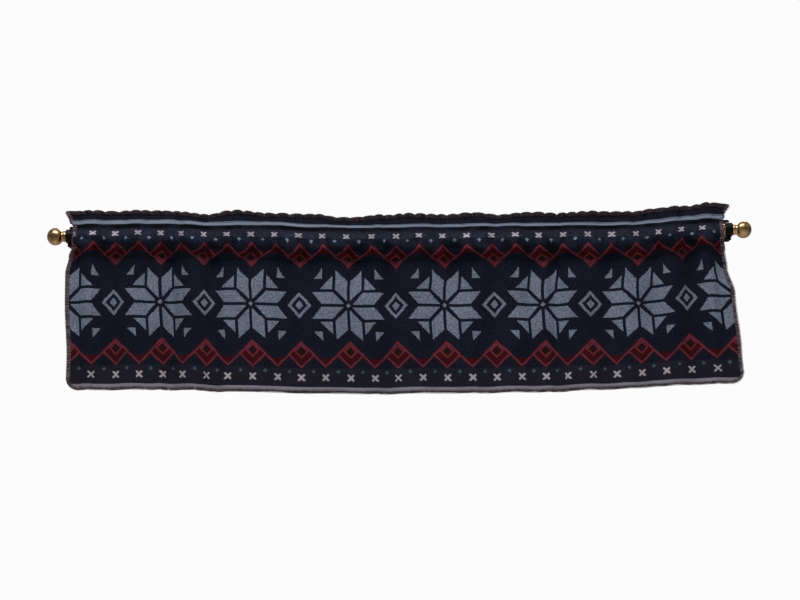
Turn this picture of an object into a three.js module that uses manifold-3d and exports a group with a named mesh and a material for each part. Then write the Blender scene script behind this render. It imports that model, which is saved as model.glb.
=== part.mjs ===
// Window valance on a curtain rod.
//
// A border-woven blanket-cloth valance hangs from a 25 mm tube by a rod pocket, with a heading
// standing above it. Ball finials close the tube and two black brackets hold it off the wall.
//
// Millimetres. X runs along the rod, Y into the wall and Z up. The origin lies on the wall,
// midway between the brackets, at the height of the rod's axis.

import * as THREE from "three";
import { mergeVertices } from "three/addons/utils/BufferGeometryUtils.js";
import Module from "manifold-3d";

const wasm = await Module();
wasm.setup();

// ---------------------------------------------------------------------------------------------
// Driving dimensions
// ---------------------------------------------------------------------------------------------

const gap = 0.3; // running gap between pieces that touch

const rod = { radius: 12.7, wall: 1, standOff: 90, halfLength: 759.5, sides: 24 };

const bracket = {
  centre: 751, // X of each ring
  ringWidth: 16,
  ringRadius: 16,
  ringChamfer: 1.2,
  armRadius: 5.5,
  plateWidth: 30,
  plateHeight: 52,
  plateLift: 16, // middle of the plate above the arm, which meets it near its foot
  plateThickness: 3,
  screwHoleRadius: 2.3,
  screwHoleHeights: [15, 33], // both above the arm
  bossRadius: 5,
  bossDrop: 20.5, // underside of the boss below the axis
};

const setScrew = { shankRadius: 2, clearance: 0.3, headRadius: 5, headHeight: 3.2 };

const finial = { ballRadius: 20, ballCentre: 783, neckRadius: 11.4, collarRadius: 12.6, spigotLength: 20 };

const pitch = 227; // one star and one diamond of the woven border
const cloth = {
  width: 7 * pitch, // flat, over the side edgings
  top: 212, // flat heights, measured from the line through the star centres
  headingSeam: 183,
  pocketSeam: 101,
  turnDown: 93, // lower end of the cloth turned to the back
  hem: -205,
  thickness: 2.2,
  cornerRadius: 28,
  restHeight: 13.4, // pocket's crown above the rod's axis where the seam rests on the rod
  seamSetBack: -4, // the two layers meet this far in front of the rod's axis
  headingLean: -3,
};

// Widths of the yarn edgings, how far they stand proud, and the share of the width that is rounded.
const edging = { side: 10, hem: 11, heading: 12, proud: 0.8, shoulder: 0.3, clear: 0.5 };

// How the flat cloth is gathered: the side edges at each flat height.
const sideEdges = [
  { height: -205, left: -754, right: 774 },
  { height: -130, left: -753, right: 770 },
  { height: 0, left: -759, right: 760 },
  { height: 60, left: -759, right: 744 },
  { height: 101, left: -751, right: 739.5 },
  { height: 125, left: -742, right: 736 },
  { height: 172, left: -742, right: 737 },
  { height: 186, left: -751, right: 741.5 },
  { height: 212, left: -761, right: 755 },
];

// Folds of the hanging panel, each a soft trough (depth towards the wall) or ridge (negative).
const panelFolds = [
  { atPocket: -706, atHem: -708, halfWidth: 24, pocketDepth: -15, hemDepth: -8 },
  { atPocket: -655, atHem: -655, halfWidth: 32, pocketDepth: 7, hemDepth: 6 },
  { atPocket: -606, atHem: -610, halfWidth: 34, pocketDepth: -7, hemDepth: -6 },
  { atPocket: -562, atHem: -564, halfWidth: 26, pocketDepth: 6, hemDepth: 6 },
  { atPocket: -522, atHem: -520, halfWidth: 27, pocketDepth: 17, hemDepth: 18 },
  { atPocket: -470, atHem: -470, halfWidth: 32, pocketDepth: -14, hemDepth: -14 },
  { atPocket: -420, atHem: -418, halfWidth: 27, pocketDepth: 12, hemDepth: 17 },
  { atPocket: -312, atHem: -318, halfWidth: 45, pocketDepth: -7, hemDepth: -4 },
  { atPocket: -258, atHem: -255, halfWidth: 45, pocketDepth: 6, hemDepth: 6 },
  { atPocket: -150, atHem: -155, halfWidth: 50, pocketDepth: -8, hemDepth: -6 },
  { atPocket: -88, atHem: -84, halfWidth: 45, pocketDepth: 6, hemDepth: 4 },
  { atPocket: -24, atHem: -30, halfWidth: 32, pocketDepth: 8, hemDepth: 11 },
  { atPocket: 40, atHem: 40, halfWidth: 50, pocketDepth: -8, hemDepth: -6 },
  { atPocket: 130, atHem: 125, halfWidth: 42, pocketDepth: 7, hemDepth: 4 },
  { atPocket: 190, atHem: 194, halfWidth: 34, pocketDepth: -8, hemDepth: 9 },
  { atPocket: 250, atHem: 250, halfWidth: 42, pocketDepth: -9, hemDepth: -7 },
  { atPocket: 300, atHem: 305, halfWidth: 30, pocketDepth: 7, hemDepth: 6 },
  { atPocket: 350, atHem: 358, halfWidth: 27, pocketDepth: 11, hemDepth: 15 },
  { atPocket: 415, atHem: 415, halfWidth: 48, pocketDepth: -11, hemDepth: -7 },
  { atPocket: 478, atHem: 470, halfWidth: 34, pocketDepth: 8, hemDepth: 4 },
  { atPocket: 520, atHem: 516, halfWidth: 40, pocketDepth: -8, hemDepth: -4 },
  { atPocket: 575, atHem: 572, halfWidth: 32, pocketDepth: 8, hemDepth: 5 },
  { atPocket: 618, atHem: 618, halfWidth: 34, pocketDepth: -11, hemDepth: -5 },
  { atPocket: 660, atHem: 664, halfWidth: 28, pocketDepth: 8, hemDepth: 5 },
  { atPocket: 700, atHem: 714, halfWidth: 24, pocketDepth: -15, hemDepth: -5 },
];

// Small gathers that the rod holds in the pocket.
const gather = { first: -690, pitch: 53.2, wander: 7, count: 27, depth: 4.6, spread: 1.6, halfWidth: 22 };
const gatherFade = 90; // how far below the pocket seam they run out

// How far a fold may reach towards the wall and towards the room at each flat height. The rod
// stands right behind the pocket's front layer, so there the cloth only folds outwards.
const foldLimits = [
  { height: -205, wallward: 22, roomward: 22 },
  { height: 101, wallward: 20, roomward: 18 },
  { height: 125, wallward: 8, roomward: 16 },
  { height: 140, wallward: 0.6, roomward: 15 },
  { height: 176, wallward: 0.6, roomward: 13 },
  { height: 184, wallward: 3, roomward: 12 },
  { height: 212, wallward: 11, roomward: 12 },
];

// Along the rod: how far the heading seam rides above the rod, how much taller the heading stands
// there, and how deep the pocket hangs.
const hanging = [
  { along: -760, ride: 13.4, taller: 2.5, pocketDrop: 74.5 },
  { along: -530, ride: 13.4, taller: 2.5, pocketDrop: 74.5 },
  { along: -450, ride: 7.4, taller: -2.5, pocketDrop: 72 },
  { along: -377, ride: 7, taller: 8, pocketDrop: 74.5 },
  { along: -286, ride: 6, taller: 0, pocketDrop: 77 },
  { along: -196, ride: 1.5, taller: 3, pocketDrop: 75.5 },
  { along: -140, ride: 0, taller: -6, pocketDrop: 75.5 },
  { along: -36, ride: 0, taller: 0, pocketDrop: 76.5 },
  { along: 9, ride: 0, taller: 3.5, pocketDrop: 76.5 },
  { along: 80, ride: 0, taller: 0, pocketDrop: 76.5 },
  { along: 165, ride: 0, taller: 3, pocketDrop: 76.5 },
  { along: 237, ride: 0, taller: -3, pocketDrop: 76.5 },
  { along: 310, ride: 0, taller: 5, pocketDrop: 76 },
  { along: 373, ride: 0, taller: 0, pocketDrop: 75 },
  { along: 440, ride: 0, taller: 5, pocketDrop: 73 },
  { along: 525, ride: 0.5, taller: 1.5, pocketDrop: 70 },
  { along: 585, ride: 7.5, taller: 4, pocketDrop: 72 },
  { along: 660, ride: 12, taller: 3, pocketDrop: 76 },
  { along: 714, ride: 13.4, taller: 7, pocketDrop: 76 },
  { along: 760, ride: 13.4, taller: 2, pocketDrop: 75.5 },
];

// The pocket's inner face round the rod, from the heading seam down to the pocket seam: out from
// the axis, up from the axis, and how much a riding seam lifts the row. The front layer's rows
// also state the flat height of the cloth there.
const pocketFront = [
  { height: 177.3, out: -9.2, up: 11.6, lift: 0.7 },
  { height: 171, out: -13.4, up: 6, lift: 0.35 },
  { height: 164, out: -15.6, up: -1, lift: 0.1 },
  { height: 155, out: -16.6, up: -10, lift: 0 },
  { height: 143, out: -15.6, up: -22, lift: 0 },
  { height: 124.5, out: -11.5, up: -40, lift: 0 },
];
const pocketBack = [
  { height: 176, out: 2, up: 13.9, lift: 0.8, follow: 0.4 },
  { height: 169, out: 9, up: 11.2, lift: 0.5, follow: 0 },
  { height: 160, out: 13.8, up: 4.5, lift: 0.2, follow: 0 },
  { height: 148, out: 15, up: -6, lift: 0, follow: 0 },
  { height: 130, out: 12.5, up: -24, lift: 0, follow: 0 },
];
const nominalPocketDrop = 75; // the depth that the two lists above are drawn for

// The hanging panel's rows, as shares of the way from the cloth's lower edge to the turn-down.
const panelRows = [0, 0.16, 0.34, 0.52, 0.7, 0.86, 1];
const columnPitch = 21.5;
const cornerSteps = 5;

// ---------------------------------------------------------------------------------------------
// Colours
// ---------------------------------------------------------------------------------------------

const finish = (colour, roughness, metalness) =>
  new THREE.MeshStandardMaterial({ color: colour, roughness, metalness });

const navyCloth = finish(0x23252f, 0.95, 0);
const maroonYarn = finish(0x3a2c33, 0.95, 0);
const taupeYarn = finish(0x6f5a5c, 0.95, 0);
const agedBronze = finish(0x8c734f, 0.35, 0.9);
const blackSteel = finish(0x121011, 0.5, 0.3);

// ---------------------------------------------------------------------------------------------
// Small helpers
// ---------------------------------------------------------------------------------------------

const lerp = (a, b, share) => a + (b - a) * share;
const clamp01 = (value) => Math.min(1, Math.max(0, value));
const bell = (distance) => (Math.abs(distance) < 1 ? 0.5 * (1 + Math.cos(Math.PI * distance)) : 0);

// Value of one column of a table at a place, eased from row to row.
function tableValue(rows, place, value, at) {
  let row = 0;
  while (row < rows.length - 2 && rows[row + 1][place] < at) row += 1;
  const low = rows[row];
  const high = rows[row + 1];
  const share = clamp01((at - low[place]) / (high[place] - low[place]));
  return lerp(low[value], high[value], share * share * (3 - 2 * share));
}

function signedVolume(positions, triangles) {
  let sum = 0;
  for (const [a, b, c] of triangles) {
    sum += positions[a].dot(new THREE.Vector3().crossVectors(positions[b], positions[c]));
  }
  return sum / 6;
}

// One closed body from points and triangles, its faces turned outwards.
function bodyOf(positions, triangles) {
  const outward = signedVolume(positions, triangles) > 0;
  const index = triangles.flatMap(([a, b, c]) => (outward ? [a, b, c] : [a, c, b]));
  const geometry = new THREE.BufferGeometry();
  const coordinates = positions.flatMap((point) => point.toArray());
  geometry.setAttribute("position", new THREE.Float32BufferAttribute(coordinates, 3));
  geometry.setIndex(index);
  geometry.computeVertexNormals();
  return geometry;
}

// Whole numbers from one to another, up or down.
function range(from, to) {
  const step = Math.sign(to - from);
  return Array.from({ length: Math.abs(to - from) + 1 }, (_, i) => from + i * step);
}

// Two triangles for the four corners of a patch, given in order round it.
const patch = (a, b, c, d) => [[a, b, c], [a, c, d]];

function solidOf(geometry) {
  const bare = geometry.clone();
  bare.deleteAttribute("normal");
  bare.deleteAttribute("uv");
  const merged = mergeVertices(bare, 1e-4);
  const triVerts = new Uint32Array(merged.index.array);
  const vertProperties = new Float32Array(merged.attributes.position.array);
  return new wasm.Manifold(new wasm.Mesh({ numProp: 3, vertProperties, triVerts }));
}

function geometryOf(solid) {
  const { vertProperties, triVerts } = solid.getMesh();
  const geometry = new THREE.BufferGeometry();
  geometry.setAttribute("position", new THREE.Float32BufferAttribute(vertProperties, 3));
  geometry.setIndex(new THREE.Uint32BufferAttribute(triVerts, 1));
  geometry.computeVertexNormals();
  return geometry;
}

// A turned shape: [radius, place along X] pairs, spun about the X axis.
function turned(profile, sides) {
  const points = profile.map(([radius, along]) => new THREE.Vector2(radius, along));
  const lathe = new THREE.LatheGeometry(points, sides);
  lathe.rotateZ(-Math.PI / 2);
  return lathe;
}

function cylinder(radius, length, sides) {
  return new THREE.CylinderGeometry(radius, radius, length, sides);
}

// ---------------------------------------------------------------------------------------------
// The cloth's surface
// ---------------------------------------------------------------------------------------------

// Depth of all folds at a place along the rod and a flat height.
function foldDepth(along, height) {
  const up = clamp01((height - cloth.hem) / (cloth.pocketSeam - cloth.hem));
  const above = clamp01((height - cloth.pocketSeam) / (cloth.top - cloth.pocketSeam));
  let depth = 0;
  for (const fold of panelFolds) {
    const centre = lerp(fold.atHem, fold.atPocket, up);
    const reach = lerp(fold.hemDepth, fold.pocketDepth, up) * (1 - 0.45 * above);
    depth += reach * bell((along - centre) / fold.halfWidth);
  }
  const held = clamp01((height - cloth.pocketSeam + gatherFade) / gatherFade) ** 1.5;
  for (let i = 0; i < gather.count; i += 1) {
    const centre = gather.first + i * gather.pitch + gather.wander * Math.sin(2.3 * i);
    const reach = gather.depth + gather.spread * Math.sin(1.7 * i + 0.5);
    depth += held * (i % 2 ? reach : -reach) * bell((along - centre) / gather.halfWidth);
  }
  const limit = depth > 0 ? "wallward" : "roomward";
  const most = tableValue(foldLimits, "height", limit, height);
  return most * Math.tanh(depth / most);
}

// One course of the weave: where its points lie along the rod, by length along the cloth.
const courses = new Map();
function courseAt(height) {
  const key = height.toFixed(3);
  if (courses.has(key)) return courses.get(key);
  const steps = 800;
  const left = tableValue(sideEdges, "height", "left", height);
  const right = tableValue(sideEdges, "height", "right", height);
  const along = [left];
  const depth = [foldDepth(left, height)];
  const length = [0];
  for (let i = 1; i <= steps; i += 1) {
    along.push(lerp(left, right, i / steps));
    depth.push(foldDepth(along[i], height));
    length.push(length[i - 1] + Math.hypot(along[i] - along[i - 1], depth[i] - depth[i - 1]));
  }
  const course = { along, depth, length, steps };
  courses.set(key, course);
  return course;
}

// Place along the rod and fold depth of a point of the flat cloth.
function gathered(across, height) {
  const { along, depth, length, steps } = courseAt(height);
  const wanted = (across / cloth.width + 0.5) * length[steps];
  let low = 0;
  let high = steps;
  while (high - low > 1) {
    const middle = (low + high) >> 1;
    if (length[middle] <= wanted) low = middle;
    else high = middle;
  }
  const share = (wanted - length[low]) / (length[high] - length[low]);
  return { along: lerp(along[low], along[high], share), depth: lerp(depth[low], depth[high], share) };
}

// The pocket's rows, moved to a seam that rides higher and a pocket that hangs deeper.
function pocketRow(row, along, depth, foldShare) {
  const ride = tableValue(hanging, "along", "ride", along);
  const seam = cloth.restHeight + ride;
  const drop = tableValue(hanging, "along", "pocketDrop", along);
  const lowest = cloth.restHeight - nominalPocketDrop;
  const below = clamp01(row.up / lowest);
  const up = row.up + row.lift * ride + below * (seam - drop - lowest);
  return new THREE.Vector3(along, -rod.standOff + row.out + foldShare * depth, up);
}

// The surface where the cloth's front layer has its back: a point of the flat cloth, hung.
function hung(across, height) {
  const { along, depth } = gathered(across, height);
  const seamUp = cloth.restHeight + tableValue(hanging, "along", "ride", along);
  const y = -rod.standOff + cloth.seamSetBack + depth;
  if (height >= cloth.headingSeam) {
    const tall = cloth.top - cloth.headingSeam;
    const share = (height - cloth.headingSeam) / tall;
    const taller = tableValue(hanging, "along", "taller", along);
    return new THREE.Vector3(along, y + cloth.headingLean * share, seamUp + share * (tall + taller));
  }
  const drop = tableValue(hanging, "along", "pocketDrop", along);
  if (height <= cloth.pocketSeam) {
    return new THREE.Vector3(along, y, seamUp - drop - (cloth.pocketSeam - height));
  }
  const rows = [
    { height: cloth.headingSeam, out: cloth.seamSetBack, up: cloth.restHeight, lift: 1 },
    ...pocketFront,
    { height: cloth.pocketSeam, out: cloth.seamSetBack, up: cloth.restHeight - nominalPocketDrop, lift: 0 },
  ];
  let row = 0;
  while (rows[row + 1].height > height) row += 1;
  const upper = pocketRow(rows[row], along, depth, 1);
  const lower = pocketRow(rows[row + 1], along, depth, 1);
  return upper.lerp(lower, (rows[row].height - height) / (rows[row].height - rows[row + 1].height));
}

// Unit vector out of the cloth's back at a point of the flat cloth.
function backward(across, height) {
  const step = 3;
  const half = cloth.width / 2;
  const right = hung(Math.min(half, across + step), height);
  const left = hung(Math.max(-half, across - step), height);
  const up = hung(across, Math.min(cloth.top, height + step));
  const down = hung(across, Math.max(cloth.hem, height - step));
  return up.sub(down).cross(right.sub(left)).normalize();
}

const offset = (across, height, by) => hung(across, height).addScaledVector(backward(across, height), by);

// ---------------------------------------------------------------------------------------------
// Cloth: panel, pocket and heading in one piece, turned to the back over the top
// ---------------------------------------------------------------------------------------------

const half = cloth.width / 2; // flat
const cornerAcross = half - cloth.cornerRadius;
const cornerHeight = cloth.hem + cloth.cornerRadius;
const cornerAngles = Array.from({ length: cornerSteps + 1 }, (_, i) => (Math.PI / 2) * (1 - i / cornerSteps));

// Stations along the cloth's lower edge, left to right: the corner arcs and the straight hem. Each
// gives the flat point on an edge lying so far inside the cloth's outline.
function lowerEdge(insideSide, insideHem) {
  const sideRadius = cloth.cornerRadius - insideSide;
  const hemRadius = cloth.cornerRadius - insideHem;
  const corner = cornerAngles.map((angle) => ({
    across: -cornerAcross - sideRadius * Math.sin(angle),
    height: cornerHeight - hemRadius * Math.cos(angle),
  }));
  const columns = Math.round((2 * cornerAcross) / columnPitch);
  const straight = Array.from({ length: columns - 1 }, (_, i) => ({
    across: lerp(-cornerAcross, cornerAcross, (i + 1) / columns),
    height: cloth.hem + insideHem,
  }));
  const mirrored = corner.map(({ across, height }) => ({ across: -across, height })).reverse();
  return [...corner, ...straight, ...mirrored];
}

const clothFoot = lowerEdge(edging.side + edging.clear, edging.hem + edging.clear);
const headingFoot = cloth.headingSeam + 4; // where the two layers lie flat together above the seam
const headingMiddle = cloth.headingSeam + 10;
const headingRow = cloth.top - edging.heading - 2 * edging.clear - cloth.thickness / 2;
const frontPocketRows = [...pocketFront].reverse().map((row) => row.height);

// Flat heights of the front layer's rows in the column that stands on a given foot.
function rowHeights(foot) {
  const panel = panelRows.map((share) => lerp(foot, cloth.turnDown, share));
  const heading = [cloth.headingSeam, headingFoot, headingMiddle, headingRow];
  return [...panel, cloth.pocketSeam, ...frontPocketRows, ...heading];
}

const endRow = panelRows.length - 1; // row of the turn-down's end
const lowRow = panelRows.length; // row of the pocket seam
const seamRow = lowRow + pocketFront.length + 1; // row of the heading seam

// Inner face of the pocket's back layer, and its unit vector out of the pocket.
function pocketBackFace(across, row) {
  const { along, depth } = gathered(across, row.height);
  return pocketRow(row, along, Math.min(depth, 0), row.follow);
}

function clothColumn(foot) {
  const { across } = foot;
  const t = cloth.thickness;
  const heights = rowHeights(foot.height);
  const join = heights.slice(0, seamRow + 1).map((height) => hung(across, height));
  const front = heights.map((height) => offset(across, height, -t));
  const crest = hung(across, cloth.top - edging.heading - 2 * edging.clear);
  const back = [headingRow, headingMiddle, headingFoot].map((height) => offset(across, height, t));

  const inner = pocketBack.map((row) => pocketBackFace(across, row));
  const beside = pocketBack.map((row) => pocketBackFace(Math.max(-half, across - 3), row));
  const beyond = pocketBack.map((row) => pocketBackFace(Math.min(half, across + 3), row));
  const chain = [join[seamRow], ...inner, join[lowRow]];
  inner.forEach((point, i) => {
    const downwards = chain[i + 2].clone().sub(chain[i]);
    const sideways = beyond[i].clone().sub(beside[i]);
    back.push(point.clone().addScaledVector(sideways.cross(downwards).normalize(), t));
  });
  back.push(offset(across, cloth.pocketSeam - 1, t));
  back.push(offset(across, cloth.turnDown, t));
  return { front, crest, back, join, inner };
}

function clothGeometry() {
  const columns = clothFoot.map(clothColumn);
  const { front, back, inner } = columns[0];
  const points = columns.flatMap((c) => [...c.front, c.crest, ...c.back, ...c.join, ...c.inner]);
  const crestAt = front.length;
  const backAt = crestAt + 1;
  const joinAt = backAt + back.length;
  const innerAt = joinAt + seamRow + 1;
  const perColumn = innerAt + inner.length;

  const lowBack = backAt + back.length - 2; // back face at the pocket seam
  const endBack = backAt + back.length - 1; // lower end of the turn-down
  const outside = [
    ...range(0, front.length - 1),
    crestAt,
    ...range(backAt, endBack),
    ...range(joinAt + endRow, joinAt),
  ];
  const tunnel = [...range(perColumn - 1, innerAt), ...range(joinAt + seamRow, joinAt + lowRow)];

  const triangles = [];
  for (let column = 0; column < columns.length - 1; column += 1) {
    const here = column * perColumn;
    const next = here + perColumn;
    for (const ring of [outside, tunnel]) {
      ring.forEach((a, i) => {
        const b = ring[(i + 1) % ring.length];
        const side = patch(here + a, here + b, next + b, next + a);
        triangles.push(...side);
      });
    }
  }

  // The two cut ends, patch by patch between the front, the join and the back.
  const end = [];
  for (let row = 0; row <= endRow; row += 1) {
    end.push(...patch(row, joinAt + row, joinAt + row + 1, row + 1));
  }
  end.push(...patch(joinAt + endRow, endBack, lowBack, joinAt + lowRow));
  for (let row = lowRow; row < seamRow; row += 1) {
    end.push(...patch(row, joinAt + row, joinAt + row + 1, row + 1));
  }
  const innerChain = [joinAt + seamRow, ...range(innerAt, perColumn - 1), joinAt + lowRow];
  const footBack = backAt + 2; // back face just above the heading seam
  const backChain = range(footBack, lowBack);
  backChain.slice(1).forEach((_, i) => {
    end.push(...patch(innerChain[i], innerChain[i + 1], backChain[i + 1], backChain[i]));
  });
  end.push([seamRow, joinAt + seamRow, footBack]);
  end.push([seamRow, footBack, seamRow + 1]);
  end.push(...patch(seamRow + 1, footBack, footBack - 1, seamRow + 2));
  end.push(...patch(seamRow + 2, footBack - 1, backAt, seamRow + 3));
  end.push([seamRow + 3, backAt, crestAt]);
  const last = (columns.length - 1) * perColumn;
  triangles.push(...end);
  triangles.push(...end.map(([a, b, c]) => [last + a, last + c, last + b]));
  return bodyOf(points, triangles);
}

// ---------------------------------------------------------------------------------------------
// Yarn edgings: soft bands overcast along the cloth's edges
// ---------------------------------------------------------------------------------------------

// A band between an outer and an inner line of flat points. Its back stands at the cloth's own
// back, or behind both layers where the cloth is double.
function bandGeometry(stations) {
  const sections = stations.map(({ outer, inner, double }) => {
    const frontBy = -cloth.thickness - edging.proud;
    const backBy = double ? cloth.thickness + edging.proud : edging.proud;
    const shoulder = {
      across: lerp(outer.across, inner.across, edging.shoulder),
      height: lerp(outer.height, inner.height, edging.shoulder),
    };
    return [
      offset(inner.across, inner.height, frontBy),
      offset(shoulder.across, shoulder.height, frontBy),
      offset(outer.across, outer.height, lerp(frontBy, backBy, 0.5)),
      offset(shoulder.across, shoulder.height, backBy),
      offset(inner.across, inner.height, backBy),
    ];
  });
  const perSection = sections[0].length;
  const triangles = [];
  for (let i = 0; i < sections.length - 1; i += 1) {
    for (let k = 0; k < perSection; k += 1) {
      const other = (k + 1) % perSection;
      const here = i * perSection;
      const next = here + perSection;
      triangles.push(...patch(here + k, here + other, next + other, next + k));
    }
  }
  const last = (sections.length - 1) * perSection;
  for (let k = 1; k < perSection - 1; k += 1) {
    triangles.push([0, k + 1, k]);
    triangles.push([last, last + k, last + k + 1]);
  }
  return bodyOf(sections.flat(), triangles);
}

function hemEdging() {
  const outer = lowerEdge(0, 0);
  const inner = lowerEdge(edging.side, edging.hem);
  return bandGeometry(outer.map((point, i) => ({ outer: point, inner: inner[i], double: false })));
}

function headingEdging() {
  const stations = clothFoot.map(({ across }) => ({
    outer: { across, height: cloth.top },
    inner: { across, height: cloth.top - edging.heading },
    double: true,
  }));
  return bandGeometry(stations);
}

function sideEdging(side) {
  const shoulderHeight = cloth.top - edging.shoulder * edging.heading;
  const heights = [...rowHeights(cornerHeight + gap), cloth.top - edging.heading, shoulderHeight, cloth.top];
  const stations = heights.map((height) => ({
    outer: { across: side * half, height },
    inner: { across: side * (half - edging.side), height },
    double: height > cloth.headingSeam,
  }));
  return bandGeometry(stations);
}

// ---------------------------------------------------------------------------------------------
// Rod, finials and brackets, all drawn about the rod's axis
// ---------------------------------------------------------------------------------------------

function rodGeometry() {
  const inside = rod.radius - rod.wall;
  return turned(
    [
      [rod.radius, -rod.halfLength],
      [rod.radius, rod.halfLength],
      [inside, rod.halfLength],
      [inside, -rod.halfLength],
      [rod.radius, -rod.halfLength],
    ],
    rod.sides,
  );
}

// The right-hand finial: spigot, collar, waist and ball.
function finialGeometry() {
  const { ballRadius, ballCentre, neckRadius, collarRadius, spigotLength } = finial;
  const face = rod.halfLength + gap;
  const spigotRadius = rod.radius - rod.wall - gap;
  const neckAngle = Math.asin(neckRadius / ballRadius);
  const ballSteps = 9;
  const ball = Array.from({ length: ballSteps }, (_, i) => {
    const angle = lerp(Math.PI - neckAngle, 0, i / ballSteps);
    return [ballRadius * Math.sin(angle), ballCentre + ballRadius * Math.cos(angle)];
  });
  return turned(
    [
      [0, face - spigotLength],
      [spigotRadius, face - spigotLength],
      [spigotRadius, face],
      [collarRadius, face],
      [collarRadius, face + 2],
      ...ball,
      [0, ballCentre + ballRadius],
    ],
    rod.sides,
  );
}

// The right-hand bracket, with the ring's bore along X and the wall plate's back at Y = 0.
function bracketGeometry() {
  const b = bracket;
  const sides = 24;
  const overlap = 1;
  const bore = rod.radius + gap;
  const outerAt = b.ringWidth / 2;
  const ring = turned(
    [
      [bore - overlap, -outerAt],
      [b.ringRadius - b.ringChamfer, -outerAt],
      [b.ringRadius, -outerAt + b.ringChamfer],
      [b.ringRadius, outerAt - b.ringChamfer],
      [b.ringRadius - b.ringChamfer, outerAt],
      [bore - overlap, outerAt],
      [bore - overlap, -outerAt],
    ],
    sides,
  );

  const armStart = bore + overlap;
  const armEnd = rod.standOff - overlap;
  const arm = cylinder(b.armRadius, armEnd - armStart, 12);
  arm.translate(0, (armStart + armEnd) / 2, 0);

  const boss = cylinder(b.bossRadius, b.bossDrop - bore, 12);
  boss.rotateX(Math.PI / 2);
  boss.translate(0, 0, -(b.bossDrop + bore) / 2);

  const plate = new THREE.BoxGeometry(b.plateWidth, b.plateThickness, b.plateHeight);
  plate.translate(0, rod.standOff - b.plateThickness / 2, b.plateLift);

  // The bore's flats face the rod's, so it has as many sides, drawn to the same corners.
  const boreProfile = [
    [0, -b.ringWidth],
    [bore, -b.ringWidth],
    [bore, b.ringWidth],
    [0, b.ringWidth],
  ];
  const boreCut = turned(boreProfile, sides);
  const setScrewCut = cylinder(setScrew.shankRadius + setScrew.clearance, b.bossDrop, 12);
  setScrewCut.rotateX(Math.PI / 2);
  setScrewCut.translate(0, 0, -b.bossDrop / 2 - bore / 2);

  let solid = solidOf(plate).add(solidOf(arm)).add(solidOf(ring)).add(solidOf(boss));
  solid = solid.subtract(solidOf(boreCut)).subtract(solidOf(setScrewCut));
  for (const height of b.screwHoleHeights) {
    const screwCut = cylinder(b.screwHoleRadius, 4 * b.plateThickness, 12);
    screwCut.translate(0, rod.standOff, height);
    solid = solid.subtract(solidOf(screwCut));
  }
  return geometryOf(solid);
}

function setScrewGeometry() {
  const { shankRadius, headRadius, headHeight } = setScrew;
  const tip = -(rod.radius + gap);
  const underBoss = -(bracket.bossDrop + gap);
  const lathe = new THREE.LatheGeometry(
    [
      new THREE.Vector2(0, underBoss - headHeight),
      new THREE.Vector2(headRadius, underBoss - headHeight),
      new THREE.Vector2(headRadius, underBoss),
      new THREE.Vector2(shankRadius, underBoss),
      new THREE.Vector2(shankRadius, tip),
      new THREE.Vector2(0, tip),
    ],
    12,
  );
  lathe.rotateX(Math.PI / 2);
  return lathe;
}

// ---------------------------------------------------------------------------------------------
// The object
// ---------------------------------------------------------------------------------------------

const valance = new THREE.Group();

function place(parent, name, geometry, material) {
  const mesh = new THREE.Mesh(geometry, material);
  mesh.name = name;
  parent.add(mesh);
  return mesh;
}

place(valance, "valance_cloth", clothGeometry(), navyCloth);
place(valance, "edging_heading", headingEdging(), maroonYarn);
place(valance, "edging_hem", hemEdging(), maroonYarn);
place(valance, "edging_left", sideEdging(-1), taupeYarn);
place(valance, "edging_right", sideEdging(1), taupeYarn);

const hardware = new THREE.Group();
hardware.position.y = -rod.standOff;
valance.add(hardware);
place(hardware, "curtain_rod", rodGeometry(), agedBronze);

for (const [name, side] of [["left", -1], ["right", 1]]) {
  const end = place(hardware, `finial_${name}`, finialGeometry(), agedBronze);
  end.rotation.z = side > 0 ? 0 : Math.PI;
  const holder = place(hardware, `bracket_${name}`, bracketGeometry(), blackSteel);
  holder.position.x = side * bracket.centre;
  const screw = place(hardware, `set_screw_${name}`, setScrewGeometry(), blackSteel);
  screw.position.x = side * bracket.centre;
}

export default valance;
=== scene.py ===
# Window valance on a curtain rod: a border-woven blanket-cloth valance, gathered on a tube that
# two black wall brackets hold, with a ball finial at each end. Metres; X runs along the rod,
# Y into the wall, Z up; the origin lies on the wall at the height of the rod's axis.

import math

import bmesh
import bpy
import numpy as np
from mathutils import Euler, Matrix, Vector


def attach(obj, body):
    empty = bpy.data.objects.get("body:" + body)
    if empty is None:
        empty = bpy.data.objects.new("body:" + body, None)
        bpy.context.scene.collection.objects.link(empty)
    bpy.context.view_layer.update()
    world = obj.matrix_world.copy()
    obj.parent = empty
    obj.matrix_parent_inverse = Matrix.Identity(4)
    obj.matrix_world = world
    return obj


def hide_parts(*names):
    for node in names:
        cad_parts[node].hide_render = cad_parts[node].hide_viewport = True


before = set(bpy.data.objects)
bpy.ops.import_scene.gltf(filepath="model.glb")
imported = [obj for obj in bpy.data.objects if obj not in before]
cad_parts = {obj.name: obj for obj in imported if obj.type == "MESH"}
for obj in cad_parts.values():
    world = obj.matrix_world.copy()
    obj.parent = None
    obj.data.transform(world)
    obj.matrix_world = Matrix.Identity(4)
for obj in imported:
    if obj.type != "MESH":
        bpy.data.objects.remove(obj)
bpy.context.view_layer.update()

# ---------------------------------------------------------------------------------------------
# Camera: level with the middle of a floor-length window, so it looks up at the valance.
# ---------------------------------------------------------------------------------------------

CAMERA_PLACE = Vector((0.0, -5.0, -1.04))
CAMERA_AIM = Vector((0.0, -0.09, -0.155))
CAMERA_ROLL = math.radians(-0.6)


def linked(name, data):
    made = bpy.data.objects.new(name, data)
    bpy.context.collection.objects.link(made)
    return made


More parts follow.
